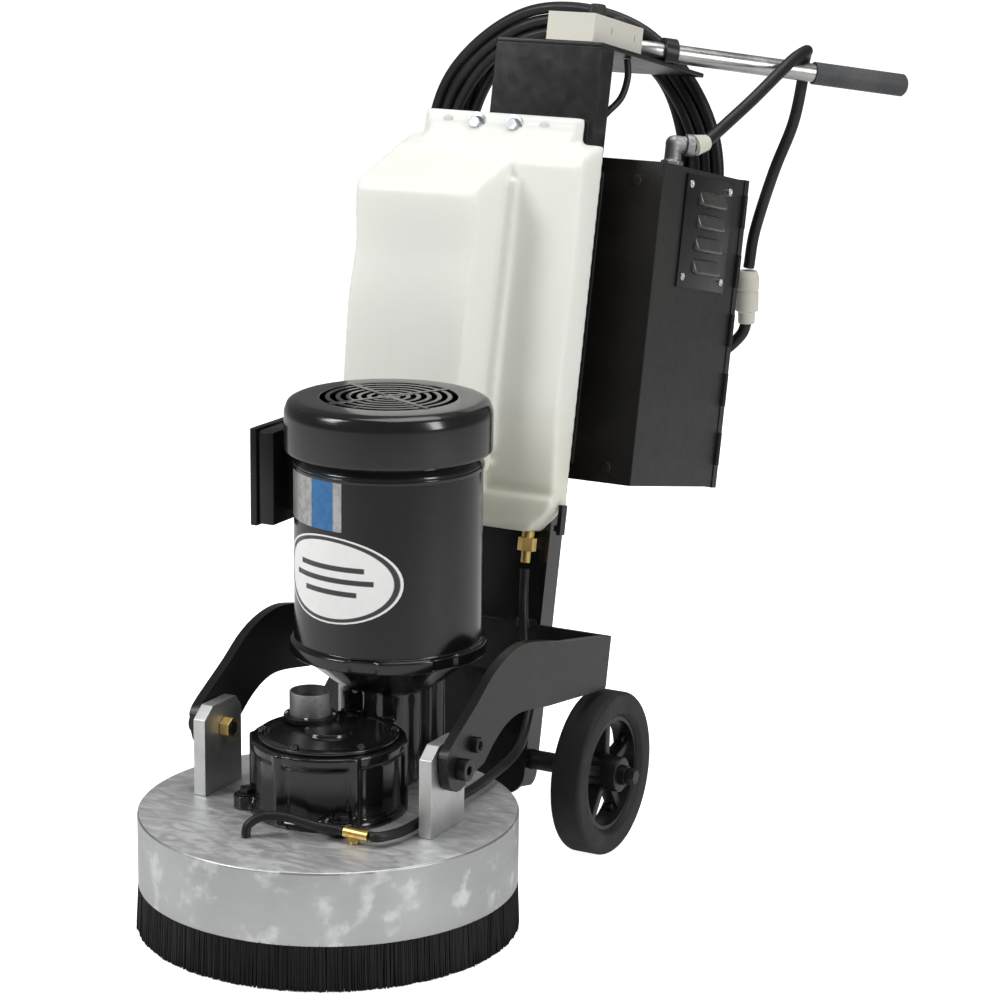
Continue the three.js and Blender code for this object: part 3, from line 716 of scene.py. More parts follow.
def prism(outline: Profile, low: float, high: float) -> Shape:
    """Extrude an outline drawn in (y, z) along X.

    Args:
        outline: outline points.
        low: start along X.
        high: end along X.

    Returns:
        The prism.
    """
    n = len(outline)
    points = [Vector((x, y, z)) for x in (low, high) for y, z in outline]
    faces: list[tuple[int, ...]] = [tuple(range(n)), tuple(range(2 * n - 1, n - 1, -1))]
    faces += [(i, (i + 1) % n, n + (i + 1) % n, n + i) for i in range(n)]
    return Shape(points, faces)


def smooth_path(points: Sequence[Point], steps: int = 8) -> list[Vector]:
    """Fine points on a smooth curve through coarse ones.

    Args:
        points: coarse points.
        steps: fine points for each coarse span.

    Returns:
        The fine points.
    """
    p = [Vector(q) for q in points]
    p = [p[0] * 2 - p[1], *p, p[-1] * 2 - p[-2]]
    out: list[Vector] = []
    for a, b, c, d in zip(p, p[1:], p[2:], p[3:]):
        for i in range(steps):
            t = i / steps
            out.append(
                0.5 * (
                    2 * b + (c - a) * t + (2 * a - 5 * b + 4 * c - d) * t**2 + (3 * b - a - 3 * c + d) * t**3
                )
            )
    out.append(p[-2])
    return out


def swept(path: Sequence[Vector], radius: float, sides: int = SMALL) -> Shape:
    """Round bar along a path, capped.

    Args:
        path: centreline.
        radius: bar radius.
        sides: sides of the bar.

    Returns:
        The bar.
    """
    shape = Shape()
    tangent = (path[1] - path[0]).normalized()
    normal = tangent.orthogonal().normalized()
    for i, here in enumerate(path):
        ahead = (path[min(i + 1, len(path) - 1)] - path[max(i - 1, 0)]).normalized()
        normal = (normal - ahead * normal.dot(ahead)).normalized()
        side = ahead.cross(normal)
        for k in range(sides):
            a = 2 * math.pi * k / sides
            shape.points.append(here + (normal * math.cos(a) + side * math.sin(a)) * radius)
    for i in range(len(path) - 1):
        for k in range(sides):
            n = (k + 1) % sides
            shape.faces.append((i * sides + k, i * sides + n, (i + 1) * sides + n, (i + 1) * sides + k))
    last = (len(path) - 1) * sides
    shape.faces.append(tuple(range(sides - 1, -1, -1)))
    shape.faces.append(tuple(last + k for k in range(sides)))
    return shape


def toward(axis: Point, at: Point) -> Matrix:
    """Matrix that takes local Z to an axis, and the origin to a point.

    Args:
        axis: wanted direction.
        at: wanted place.

    Returns:
        The matrix.
    """
    return Matrix.Translation(at) @ Vector(axis).to_track_quat("Z", "Y").to_matrix().to_4x4()


def place(
    name: str, shape: Shape, matrix: Matrix, finish: str, body: Body, *stands_for: str
) -> bpy.types.Object:
    """Put a shape into the scene as a piece.

    Args:
        name: piece name.
        shape: local shape.
        matrix: local to row frame.
        finish: finish name.
        body: body that it rides on.
        stands_for: CAD nodes that it replaces.

    Returns:
        The object.
    """
    return place_mesh(name, shape.moved(matrix).mesh(name), finish, body, *stands_for)


def place_mesh(
    name: str, mesh: bpy.types.Mesh, finish: str, body: Body | None, *stands_for: str
) -> bpy.types.Object:
    """Put a finished mesh into the scene.

    Args:
        name: piece name.
        mesh: mesh in the row frame.
        finish: finish name.
        body: body that it rides on, or None to leave it unattached.
        stands_for: CAD nodes that it replaces.

    Returns:
        The object.
    """
    mesh.materials.clear()
    mesh.materials.append(palette[finish])
    made = bpy.data.objects.new(name, mesh)
    bpy.context.scene.collection.objects.link(made)
    if body is not None:
        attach(made, body.value)
    if stands_for:
        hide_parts(*stands_for)
    return made


def dress(finish: str, bevel: float, *names: str) -> None:
    """Give CAD nodes a finish and softened edges.

    Args:
        finish: finish name.
        bevel: edge radius.
        names: node names.
    """
    for name in names:
        node = frame["nodes"][name]
        node.data.materials.clear()
        node.data.materials.append(palette[finish])
        for polygon in node.data.polygons:
            polygon.material_index = 0
        imported = node.data.attributes.get("custom_normal")
        if imported is not None:
            node.data.attributes.remove(imported)
        weld = node.modifiers.new("weld", "WELD")
        weld.merge_threshold = 0.00002
        if bevel > 0:
            soft = node.modifiers.new("bevel", "BEVEL")
            soft.width = bevel
            soft.segments = 2
            soft.limit_method = "ANGLE"
            soft.angle_limit = math.radians(32)
            soft.harden_normals = False
        node.data.shade_smooth()
        node.data.set_sharp_from_angle(angle=SMOOTH_ANGLE)
        even = node.modifiers.new("even", "WEIGHTED_NORMAL")
        even.keep_sharp = True


def cast(
    name: str,
    shapes: Sequence[Shape],
    voxel: float,
    passes: int,
    shift: Callable[[Vector], Vector] | None = None,
) -> bpy.types.Mesh:
    """Fuse closed shapes into one body with soft, cast or moulded edges.

    Args:
        name: mesh name.
        shapes: closed shapes in the row frame.
        voxel: grain of the fused surface.
        passes: smoothing passes, which set the edge radius.
        shift: optional last change to each point.

    Returns:
        The fused mesh.
    """
    joined = Shape()
    for shape in shapes:
        joined.merge(shape)
    holder = bpy.data.objects.new(name + "_source", joined.mesh(name + "_source"))
    bpy.context.scene.collection.objects.link(holder)
    fuse = holder.modifiers.new("fuse", "REMESH")
    fuse.mode = "VOXEL"
    fuse.voxel_size = voxel
    soft = holder.modifiers.new("soft", "SMOOTH")
    soft.factor = 0.5
    soft.iterations = passes
    graph = bpy.context.evaluated_depsgraph_get()
    mesh = bpy.data.meshes.new_from_object(holder.evaluated_get(graph))
    bpy.data.objects.remove(holder)
    mesh.name = name
    if shift is not None:
        for vert in mesh.vertices:
            vert.co = shift(vert.co)
    mesh.shade_smooth()
    return mesh


def node_shape(name: str) -> Shape:
    """Shape of a CAD node in the row frame.

    Args:
        name: node name.

    Returns:
        A copy of its geometry with shared corners joined.
    """
    worker = bmesh.new()
    worker.from_mesh(frame["nodes"][name].data)
    bmesh.ops.remove_doubles(worker, verts=worker.verts, dist=0.00002)
    worker.verts.index_update()
    shape = Shape(
        [v.co.copy() for v in worker.verts], [tuple(v.index for v in f.verts) for f in worker.faces]
    )
    worker.free()
    return shape


# ---- repeated detail through Geometry Nodes -----------------------------------------------------
class Repeater:
    """Geometry Nodes group that sets one small shape on points or over faces."""

    def __init__(self, name: str, scattered: bool) -> None:
        """Build the node group.

        Args:
            name: group name.
            scattered: over faces by density, instead of on every point.
        """
        self.group = bpy.data.node_groups.new(name, "GeometryNodeTree")
        face = self.group.interface
        face.new_socket("Geometry", in_out="INPUT", socket_type="NodeSocketGeometry")
        face.new_socket("Item", in_out="INPUT", socket_type="NodeSocketObject")
        face.new_socket("Density", in_out="INPUT", socket_type="NodeSocketFloat")
        face.new_socket("Seed", in_out="INPUT", socket_type="NodeSocketInt")
        face.new_socket("Turn", in_out="INPUT", socket_type="NodeSocketRotation")
        face.new_socket("Tilt", in_out="INPUT", socket_type="NodeSocketFloat")
        face.new_socket("Finish", in_out="INPUT", socket_type="NodeSocketMaterial")
        face.new_socket("Geometry", in_out="OUTPUT", socket_type="NodeSocketGeometry")
        new, link = self.group.nodes.new, self.group.links.new
        source = new("NodeGroupInput").outputs
        where = source["Geometry"]
        if scattered:
            spread = new("GeometryNodeDistributePointsOnFaces")
            link(where, spread.inputs["Mesh"])
            link(source["Density"], spread.inputs["Density"])
            link(source["Seed"], spread.inputs["Seed"])
            where = spread.outputs["Points"]
        item = new("GeometryNodeObjectInfo")
        link(source["Item"], item.inputs["Object"])
        copies = new("GeometryNodeInstanceOnPoints")
        link(where, copies.inputs["Points"])
        link(item.outputs["Geometry"], copies.inputs["Instance"])
        link(source["Turn"], copies.inputs["Rotation"])
        lean = new("FunctionNodeRandomValue")
        lean.data_type = "FLOAT_VECTOR"
        swing = new("ShaderNodeVectorMath")
        swing.operation = "SCALE"
        swing.inputs[0].default_value = (1.0, 1.0, 0.0)
        link(source["Tilt"], swing.inputs["Scale"])
        back = new("ShaderNodeVectorMath")
        back.operation = "SCALE"
        link(swing.outputs[0], back.inputs[0])
        back.inputs["Scale"].default_value = -1.0
        link(back.outputs[0], lean.inputs[0])
        link(swing.outputs[0], lean.inputs[1])
        link(source["Seed"], lean.inputs["Seed"])
        tilted = new("GeometryNodeRotateInstances")
        link(copies.outputs[0], tilted.inputs["Instances"])
        link(lean.outputs[0], tilted.inputs["Rotation"])
        real = new("GeometryNodeRealizeInstances")
        link(tilted.outputs[0], real.inputs[0])
        paint = new("GeometryNodeSetMaterial")
        link(real.outputs[0], paint.inputs["Geometry"])
        link(source["Finish"], paint.inputs["Material"])
        link(paint.outputs[0], new("NodeGroupOutput").inputs[0])

    def bake(
        self,
        name: str,
        base: Shape,
        item: Shape,
        finish: str,
        density: float = 0.0,
        seed: int = 1,
        turn: Point = (0.0, 0.0, 0.0),
        tilt: float = 0.0,
    ) -> bpy.types.Mesh:
        """Set copies of an item on a base and keep the result as a mesh.

        Args:
            name: mesh name.
            base: points or faces to set them on, in the row frame.
            item: the small shape.
            finish: finish name.
            density: copies per square metre when scattered.
            seed: fixed random seed.
            turn: rotation of every copy.
            tilt: largest random lean, in radians.

        Returns:
            The baked mesh.
        """
        scene = bpy.context.scene.collection.objects
        one = bpy.data.objects.new(name + "_item", item.mesh(name + "_item"))
        ground = bpy.data.meshes.new(name)
        ground.from_pydata([tuple(p) for p in base.points], [], base.faces)
        holder = bpy.data.objects.new(name + "_base", ground)
        scene.link(one)
        scene.link(holder)
        modifier = holder.modifiers.new("repeat", "NODES")
        modifier.node_group = self.group
        wanted = {
            "Item": one,
            "Density": density,
            "Seed": seed,
            "Turn": turn,
            "Tilt": tilt,
            "Finish": palette[finish],
        }
        for socket in self.group.interface.items_tree:
            if socket.in_out == "INPUT" and socket.name in wanted:
                modifier[socket.identifier] = wanted[socket.name]
        bpy.context.view_layer.update()
        graph = bpy.context.evaluated_depsgraph_get()
        mesh = bpy.data.meshes.new_from_object(holder.evaluated_get(graph))
        bpy.data.objects.remove(holder)
        bpy.data.objects.remove(one)
        return mesh


def spots(points: Sequence[Point], matrix: Matrix) -> Shape:
    """Loose points, to set repeated items on.

    Args:
        points: local points.
        matrix: local to row frame.

    Returns:
        A shape with no faces.
    """
    return Shape([matrix @ Vector(p) for p in points], [])


def hex_bolt(radius: float, height: float, washer: float = 1.35) -> Shape:
    """Hexagon bolt head on a washer, standing along Z.

    Args:
        radius: head radius across corners.
        height: head height.
        washer: washer radius as a multiple of the head's.

    Returns:
        The bolt head.
    """
    flat = height * 0.2
    shape = lathe(
        rounded([(0, 0), (radius * washer, 0), (radius * washer, flat), (0, flat)], flat / 3), SMALL
    )
    return shape.merge(
        lathe([(radius, flat), (radius, height * 0.9), (radius * 0.86, height), (0, height)], 6)
    )


def cap_screw(radius: float, height: float) -> Shape:
    """Socket screw head with a dimple, standing along Z.

    Args:
        radius: head radius.
        height: head height.

    Returns:
        The screw head.
    """
    rim = [
        (radius, 0),
        (radius, height),
        (radius * 0.55, height),
        (radius * 0.45, height * 0.4),
        (0, height * 0.4),
    ]
    return lathe(rounded(rim, radius * 0.2), SMALL)


# ---- camera and cords ---------------------------------------------------------------------------
@dataclass
class Studio:
    """Camera, floor and soft lights."""

    lens: float = 111.11
    spot: Point = (1.78452, -3.36105, 1.35168)

    def camera(self) -> None:
        """Place the camera and make it the scene's."""
        lens = bpy.data.cameras.new("camera")
        lens.lens = self.lens
        lens.sensor_width = 36.0
        made = bpy.data.objects.new("camera", lens)
        bpy.context.scene.collection.objects.link(made)
        right = Vector((0.88391, 0.46753, 0.01113))
        up = Vector((-0.11925, 0.20232, 0.97204))
        back = Vector((0.45220, -0.86052, 0.23458))
        turn = Matrix((right, up, back)).transposed().to_4x4()
        made.matrix_world = Matrix.Translation(self.spot) @ turn
        bpy.context.scene.camera = made

    def lamp(self, name: str, at: Point, aim: Point, size: tuple[float, float], power: float) -> None:
        """Add a soft rectangular light.

        Args:
            name: lamp name.
            at: place.
            aim: point that it faces.
            size: width and height.
            power: watts.
        """
        data = bpy.data.lights.new(name, "AREA")
        data.shape = "RECTANGLE"
        data.size, data.size_y = size
        data.energy = power
        made = bpy.data.objects.new(name, data)
        bpy.context.scene.collection.objects.link(made)
        made.matrix_world = toward(tuple(Vector(at) - Vector(aim)), at)

    def floor_and_lights(self) -> None:
        """Lay a pale floor, set the surroundings and hang the lights."""
        shader = Shader("floor")
        shader.fixed(Roughness=0.9, Specular_IOR_Level=0.1)
        shader.surface.inputs["Base Color"].default_value = (0.9, 0.9, 0.9, 1.0)
        shader.fixed(Emission_Strength=1.0)
        ray = shader.tree.nodes.new("ShaderNodeLightPath")
        glow = shader.tree.nodes.new("ShaderNodeMapRange")
        glow.inputs["To Min"].default_value = 0.12
        glow.inputs["To Max"].default_value = 0.95
        shader.tree.links.new(ray.outputs["Is Camera Ray"], glow.inputs["Value"])
        shader.tree.links.new(glow.outputs["Result"], shader.surface.inputs["Emission Color"])
        ground = slab((-30.0, -30.0, -0.02), (30.0, 30.0, -0.0005)).mesh("floor")
        ground.materials.append(shader.material)
        made = bpy.data.objects.new("floor", ground)
        bpy.context.scene.collection.objects.link(made)
        made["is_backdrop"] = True
        world = bpy.data.worlds.new("surroundings")
        bpy.context.scene.world = world
        world.use_nodes = True
        tree = world.node_tree
        sky = tree.nodes["Background"]
        seen = tree.nodes.new("ShaderNodeLightPath")
        level = tree.nodes.new("ShaderNodeMapRange")
        level.inputs["To Min"].default_value = 0.22
        level.inputs["To Max"].default_value = 1.15
        tree.links.new(seen.outputs["Is Camera Ray"], level.inputs["Value"])
        tree.links.new(level.outputs["Result"], sky.inputs["Strength"])
        sky.inputs["Color"].default_value = (1.0, 1.0, 1.0, 1.0)
        self.lamp("key", (-2.2, -2.6, 3.0), (0, -0.1, 0.5), (1.1, 1.9), 95)
        self.lamp("side", (3.2, -0.6, 1.9), (0, 0.0, 0.6), (0.7, 1.9), 50)
        self.lamp("top", (0.2, 0.4, 3.6), (0, 0, 0.5), (2.2, 2.2), 62)
        bpy.context.scene.view_settings.view_transform = "Standard"


@dataclass
class FreeCord:
    """A cord, cable or hose that hangs freely."""

    name: str
    points: Sequence[Point]
    diameter: float
    length: float
    stiffness: str
    lay: str
    far_end: str
    node: str
    frame_of: Matrix = field(default_factory=lambda: HEAD.copy())
    body: Body = Body.CHASSIS
    finish: str = "cord_rubber"
    slot: str = "cord"

    def path(self) -> list[Vector]:
        """Centreline in the row frame.

        Returns:
            Fine points from its start to its end.
        """
        return [self.frame_of @ p for p in smooth_path(self.points)]

    def build(self, with_pieces: Sequence[bpy.types.Object] = ()) -> bpy.types.Object:
        """Args:
            with_pieces: pieces on it; not used.

        Returns:
            The curve object.
        """
        data = bpy.data.curves.new(self.name, "CURVE")
        data.dimensions = "3D"
        data.bevel_depth = self.diameter / 2
        data.bevel_resolution = 4
        data.use_fill_caps = True
        line = data.splines.new("POLY")
        path = self.path()
        line.points.add(len(path) - 1)
        for point, here in zip(line.points, path):
            point.co = (*here, 1.0)
        line.use_smooth = True
        data.materials.append(palette[self.finish])
        made = bpy.data.objects.new(self.name, data)
        bpy.context.scene.collection.objects.link(made)
        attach(made, self.body.value)
        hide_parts(self.node)
        self.declare(path)
        return made

    def build_blended(self) -> bpy.types.Object:
        """Returns:
            The mesh object.
        """
        path = self.path()
        mesh = swept(path, self.diameter / 2, 16).mesh(self.name)
        made = place_mesh(self.name, mesh, self.finish, None, self.node)
        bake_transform(made)
        self.declare(path)
        return made

    def declare(
        self,
        path: Sequence[Vector],
    ) -> None:
        """Log its length measured along the path.

        Args:
            path: centreline.
        """
        log.info("%s is %.3f m", self.name, sum((b - a).length for a, b in zip(path, path[1:])))


@dataclass
class Cords:
    """All cords and hoses, with the plugs on them."""

    coil_x: float = -0.130
    coil_y: float = 0.881
    coil_turns: tuple[Point, ...] = (
        (0.2255, 1.0155, -0.0085),
        (0.2095, 0.9995, -0.0085),
        (0.1950, 0.9835, -0.0085),
        (0.1660, 0.9835, 0.0085),
        (0.1810, 0.9995, 0.0085),
    )
    steps: int = 16

    def coil_points(self) -> list[Point]:
        """Points of the coiled lead, from the connector round the coil.

        Returns:
            Coarse points.
        """
        points: list[Point] = [
            (0.122, 0.922, 0.592),
            (0.116, 0.920, 0.574),
            (0.096, 0.913, 0.552),
            (0.070, 0.902, 0.535),
            (0.040, 0.889, 0.526),
            (0.000, 0.879, 0.538),
            (-0.036, 0.8735, 0.567),
        ]
        first = math.radians(-52)
        total = len(self.coil_turns) * self.steps
        for i in range(total):
            turn, part = divmod(i / self.steps, 1.0)
            here = Vector(self.coil_turns[int(turn)])
            after = Vector(self.coil_turns[min(int(turn) + 1, len(self.coil_turns) - 1)])
            ease = max(0.0, (part - 0.7) / 0.3)
            ease = ease * ease * (3 - 2 * ease)
            r, top, off = here.lerp(after, ease)
            wave = r + 0.0012 * math.sin(3 * i + turn)
            a = first + 2 * math.pi * i / self.steps
            points.append((self.coil_x + wave * math.cos(a), self.coil_y + off, top - r + wave * math.sin(a)))
        return points

    def build(self) -> None:
        """Make every cord."""
        plug_at = HEAD @ Matrix.Translation((0.122, 0.922, 0.0))
        shell = [(0, 0.590), (0.0115, 0.590), (0.012, 0.606), (0.016, 0.608), (0.016, 0.634), (0.0148, 0.635)]
        shell += [(0.0148, 0.637), (0.016, 0.638), (0.016, 0.655), (0.0125, 0.664), (0, 0.664)]
        plug = place(
            "connector", lathe(rounded(shell, 0.0015), 40), plug_at, "cream", Body.CHASSIS, "cord_plug"
        )
        supply = FreeCord(
            "supply_lead",
            [
                (0.1486, 0.677, 0.8642), (0.155, 0.687, 0.866), (0.160, 0.705, 0.874), (0.168, 0.740, 0.891),
                (0.182, 0.785, 0.917), (0.196, 0.835, 0.947), (0.202, 0.865, 0.962), (0.206, 0.885, 0.969),
                (0.207, 0.901, 0.9715), (0.200, 0.915, 0.966), (0.194, 0.923, 0.950), (0.192, 0.925, 0.928),
                (0.181, 0.924, 0.870), (0.156, 0.922, 0.803), (0.131, 0.922, 0.721), (0.123, 0.922, 0.668),
            ],
            0.016, 0.59, "stiff", "hanging", "connector", "supply_cord",
        )
        supply.build([plug])
        coil = self.coil_points()
        lead = FreeCord("coiled_lead", coil, 0.016, 6.40, "medium", "coiled", "bare", "cord_coil")
        lead.build()
        FreeCord(
            "control_lead",
            [
                (0.056, 0.116, 1.016), (0.058, 0.119, 0.992), (0.056, 0.110, 0.965), (0.046, 0.095, 0.944),
                (0.030, 0.088, 0.922), (0.014, 0.088, 0.904), (0.008, 0.090, 0.886),
            ],
            0.009, 0.152, "stiff", "hanging", "object", "control_cable", LEAN.copy(),
        ).build()
        FreeCord(
            "spray_line",
            [
                (0.0755, -0.094, 0.154), (0.068, -0.0955, 0.1545), (0.046, -0.104, 0.158),
                (0.010, -0.112, 0.165),
                (-0.014, -0.124, 0.165), (-0.026, -0.134, 0.157), (-0.028, -0.137, 0.149),
                (-0.028, -0.137, 0.143),
            ],
            0.011, 0.13, "stiff", "loose", "object", "spray_hose", body=Body.HEAD, slot="rubber",
        ).build()
        FreeCord(
            "feed_line",
            [
                (0.058, 0.3854, 0.352), (0.059, 0.382, 0.330), (0.064, 0.372, 0.298), (0.073, 0.361, 0.250),
                (0.090, 0.345, 0.205), (0.106, 0.300, 0.172), (0.122, 0.240, 0.158), (0.132, 0.140, 0.154),
                (0.133, 0.066, 0.153), (0.134, 0.0, 0.153), (0.135, -0.030, 0.153), (0.133, -0.060, 0.153),
                (0.127, -0.080, 0.1535), (0.120, -0.092, 0.154), (0.1125, -0.094, 0.154),
            ],
            0.012, 0.63, "medium", "hanging", "object", "water_hose", slot="rubber",
        ).build_blended()


# ---- grinding head ------------------------------------------------------------------------------
@dataclass
class Drum:
    """Aluminium drum with its bristle skirt."""

    radius: float = 0.225
    low: float = 0.055
    top: float = 0.142
    plate: float = 0.008
    wall: float = 0.005
    bristle_r: float = 0.0008
    per_m2: float = 900000.0

    def build(self) -> None:
        """Make the drum and skirt."""
        r = self.radius
        outer = [
            (0.030, self.top), (r - 0.0018, self.top), (r, self.top - 0.0018), (r, self.low),
            (r - self.wall, self.low), (r - self.wall, self.top - self.plate), (0.030, self.top - self.plate),
        ]
        band = place(
            "drum",
            lathe(rounded(outer, 0.001), 192, closed=True),
            HEAD,
            "band_aluminium",
            Body.HEAD,
            "head_drum",
        )
        band.data.materials.append(palette["milled_aluminium"])
        for face in band.data.polygons:
            if face.normal.z > 0.9 and face.center.z > self.top - 0.001:
                face.material_index = 1
        backing = [(0.2135, 0.004), (0.2200, 0.004), (0.2185, 0.054), (0.2135, 0.079)]
        place("skirt_backing", lathe(backing, FINE, closed=True), HEAD, "bristle", Body.HEAD)
        ring = lathe([(0.2180, self.low + 0.002), (0.2243, self.low + 0.002)], FINE).moved(HEAD)
        long = self.low + 0.0005
        one = lathe(
            [(self.bristle_r, 0.001), (self.bristle_r, -0.7 * long), (self.bristle_r * 0.8, -long)], 5
        )
        brush = Repeater("scattered", True)
        mesh = brush.bake("skirt_bristles", ring, one, "bristle", self.per_m2, 7, tilt=0.02)
        for vert in mesh.vertices:
            low = max(0.0, (self.low - vert.co.z) / self.low)
            flat = Vector((vert.co.x, vert.co.y - HEAD_SHIFT, 0.0))
            angle = math.atan2(flat.y, flat.x)
            spread = 0.0022 * low + 0.0006 * low * math.sin(41 * angle) * math.cos(17 * angle)
            move = flat.normalized() * spread
            vert.co.x += move.x
            vert.co.y += move.y
            vert.co.z = max(vert.co.z, 0.0003 + 0.0008 * (1 + math.sin(29 * angle)))
        place_mesh("skirt_bristles", mesh, "bristle", Body.HEAD, "brush_skirt")


@dataclass
class Gearbox:
    """Cast case, cap with its screws, and the suction port."""

    case_top: float = 0.230
    cap_r: float = 0.083
    port_at: tuple[float, float] = (-0.043, 0.030)
    port_r: float = 0.025
    port_top: float = 0.271

    def build(self) -> None:
        """Make the gearbox."""
        parts = [node_shape("gearbox_case")]
        rib = lathe([(0, 0.150), (0.012, 0.150), (0.012, 0.296), (0, 0.296)], SMALL)
        for x, y in ((0.012, 0.082), (-0.043, 0.118), (0.044, 0.120), (0.046, 0.176), (-0.046, 0.176)):
            parts.append(rib.moved(HEAD @ Matrix.Translation((x, y, 0))))
        lip = lathe(
            rounded([(0.079, 0.217), (0.092, 0.217), (0.092, 0.2298), (0.079, 0.2298)], 0.002), MEDIUM, True
        )
        foot = lathe([(0.08, 0.1423), (0.094, 0.1423), (0.092, 0.150), (0.08, 0.156)], MEDIUM, True)
        parts += [lip.moved(HEAD), foot.moved(HEAD)]
        for k in range(6):
            a = math.radians(20 + 60 * k)
            boss = lathe([(0, 0.143), (0.009, 0.143), (0.009, 0.2296), (0, 0.2296)], SMALL)
            spot = HEAD @ Matrix.Translation((0.086 * math.cos(a), 0.086 * math.sin(a), 0))
            if math.sin(a) < 0.5:
                parts.append(boss.moved(spot))
        case = cast("gear_case", parts, 0.0021, 3)
        place_mesh("gear_case", case, "gloss_black", Body.HEAD, "gearbox_case")
        z = self.case_top
        cap = [(0, z + 0.0003), (self.cap_r, z + 0.0003), (self.cap_r, z + 0.005), (0.072, z + 0.006)]
        cap += [(0.070, z + 0.0045), (0.030, z + 0.0045), (0.028, z + 0.009), (0, z + 0.009)]
        place("gear_cap", lathe(rounded(cap, 0.0012), FINE), HEAD, "gloss_black", Body.HEAD, "gearbox_cap")
        self.port()
        self.bolts()

    def port(self) -> None:
        """Make the suction tube and its clamp ring."""
        at = HEAD @ Matrix.Translation((*self.port_at, 0.0))
        r = self.port_r
        tube = [(r - 0.0025, 0.2365), (r, 0.2365), (r, self.port_top), (r - 0.0025, self.port_top)]
        place(
            "port_tube",
            lathe(rounded(tube, 0.0006), MEDIUM, True),
            at,
            "galvanised",
            Body.HEAD,
            "vacuum_port",
        )
        ring = [(r + 0.0005, 0.2362), (r + 0.007, 0.2362), (r + 0.007, 0.243), (r + 0.0005, 0.243)]
        place("port_clamp", lathe(rounded(ring, 0.001), MEDIUM, True), at, "textured_black", Body.HEAD)

    def bolts(self) -> None:
        """Set the base bolts and the cap and port screws."""
        row = Repeater("on_points", False)
        base = [
            (-0.084, -0.046, 0.158), (0.062, -0.074, 0.158), (-0.066, 0.176, 0.158), (0.066, 0.176, 0.158)
        ]
        hexes = row.bake("base_bolts", spots(base, HEAD), hex_bolt(0.0095, 0.0085), "satin_black")
        place_mesh("base_bolts", hexes, "satin_black", Body.HEAD)
        rim = [
            (0.077 * math.cos(a), 0.077 * math.sin(a), 0.2358)
            for a in (math.radians(30 + 60 * k) for k in range(6))
        ]
        rim = [p for p in rim if math.hypot(p[0] - self.port_at[0], p[1] - self.port_at[1]) > 0.038]
        caps = row.bake("cap_screws", spots(rim, HEAD), cap_screw(0.0055, 0.0045), "gloss_black")
        place_mesh("cap_screws", caps, "gloss_black", Body.HEAD)
        x, y = self.port_at
        small = [(x + 0.0285 * math.cos(a), y + 0.0285 * math.sin(a), 0.243) for a in (-2.6, -1.2, 0.3, 1.7)]
        tiny = row.bake("port_screws", spots(small, HEAD), cap_screw(0.0026, 0.002), "bright_steel")
        place_mesh("port_screws", tiny, "bright_steel", Body.HEAD)
        face = [(0.0, 0.0, 0.0)]
        at = HEAD @ Matrix.Translation((-0.012, 0.0845, 0.262))
        screw = row.bake(
            "case_screw", spots(face, at), cap_screw(0.0042, 0.003), "steel", turn=(math.pi / 2, 0, 0)
        )
        place_mesh("case_screw", screw, "steel", Body.HEAD)


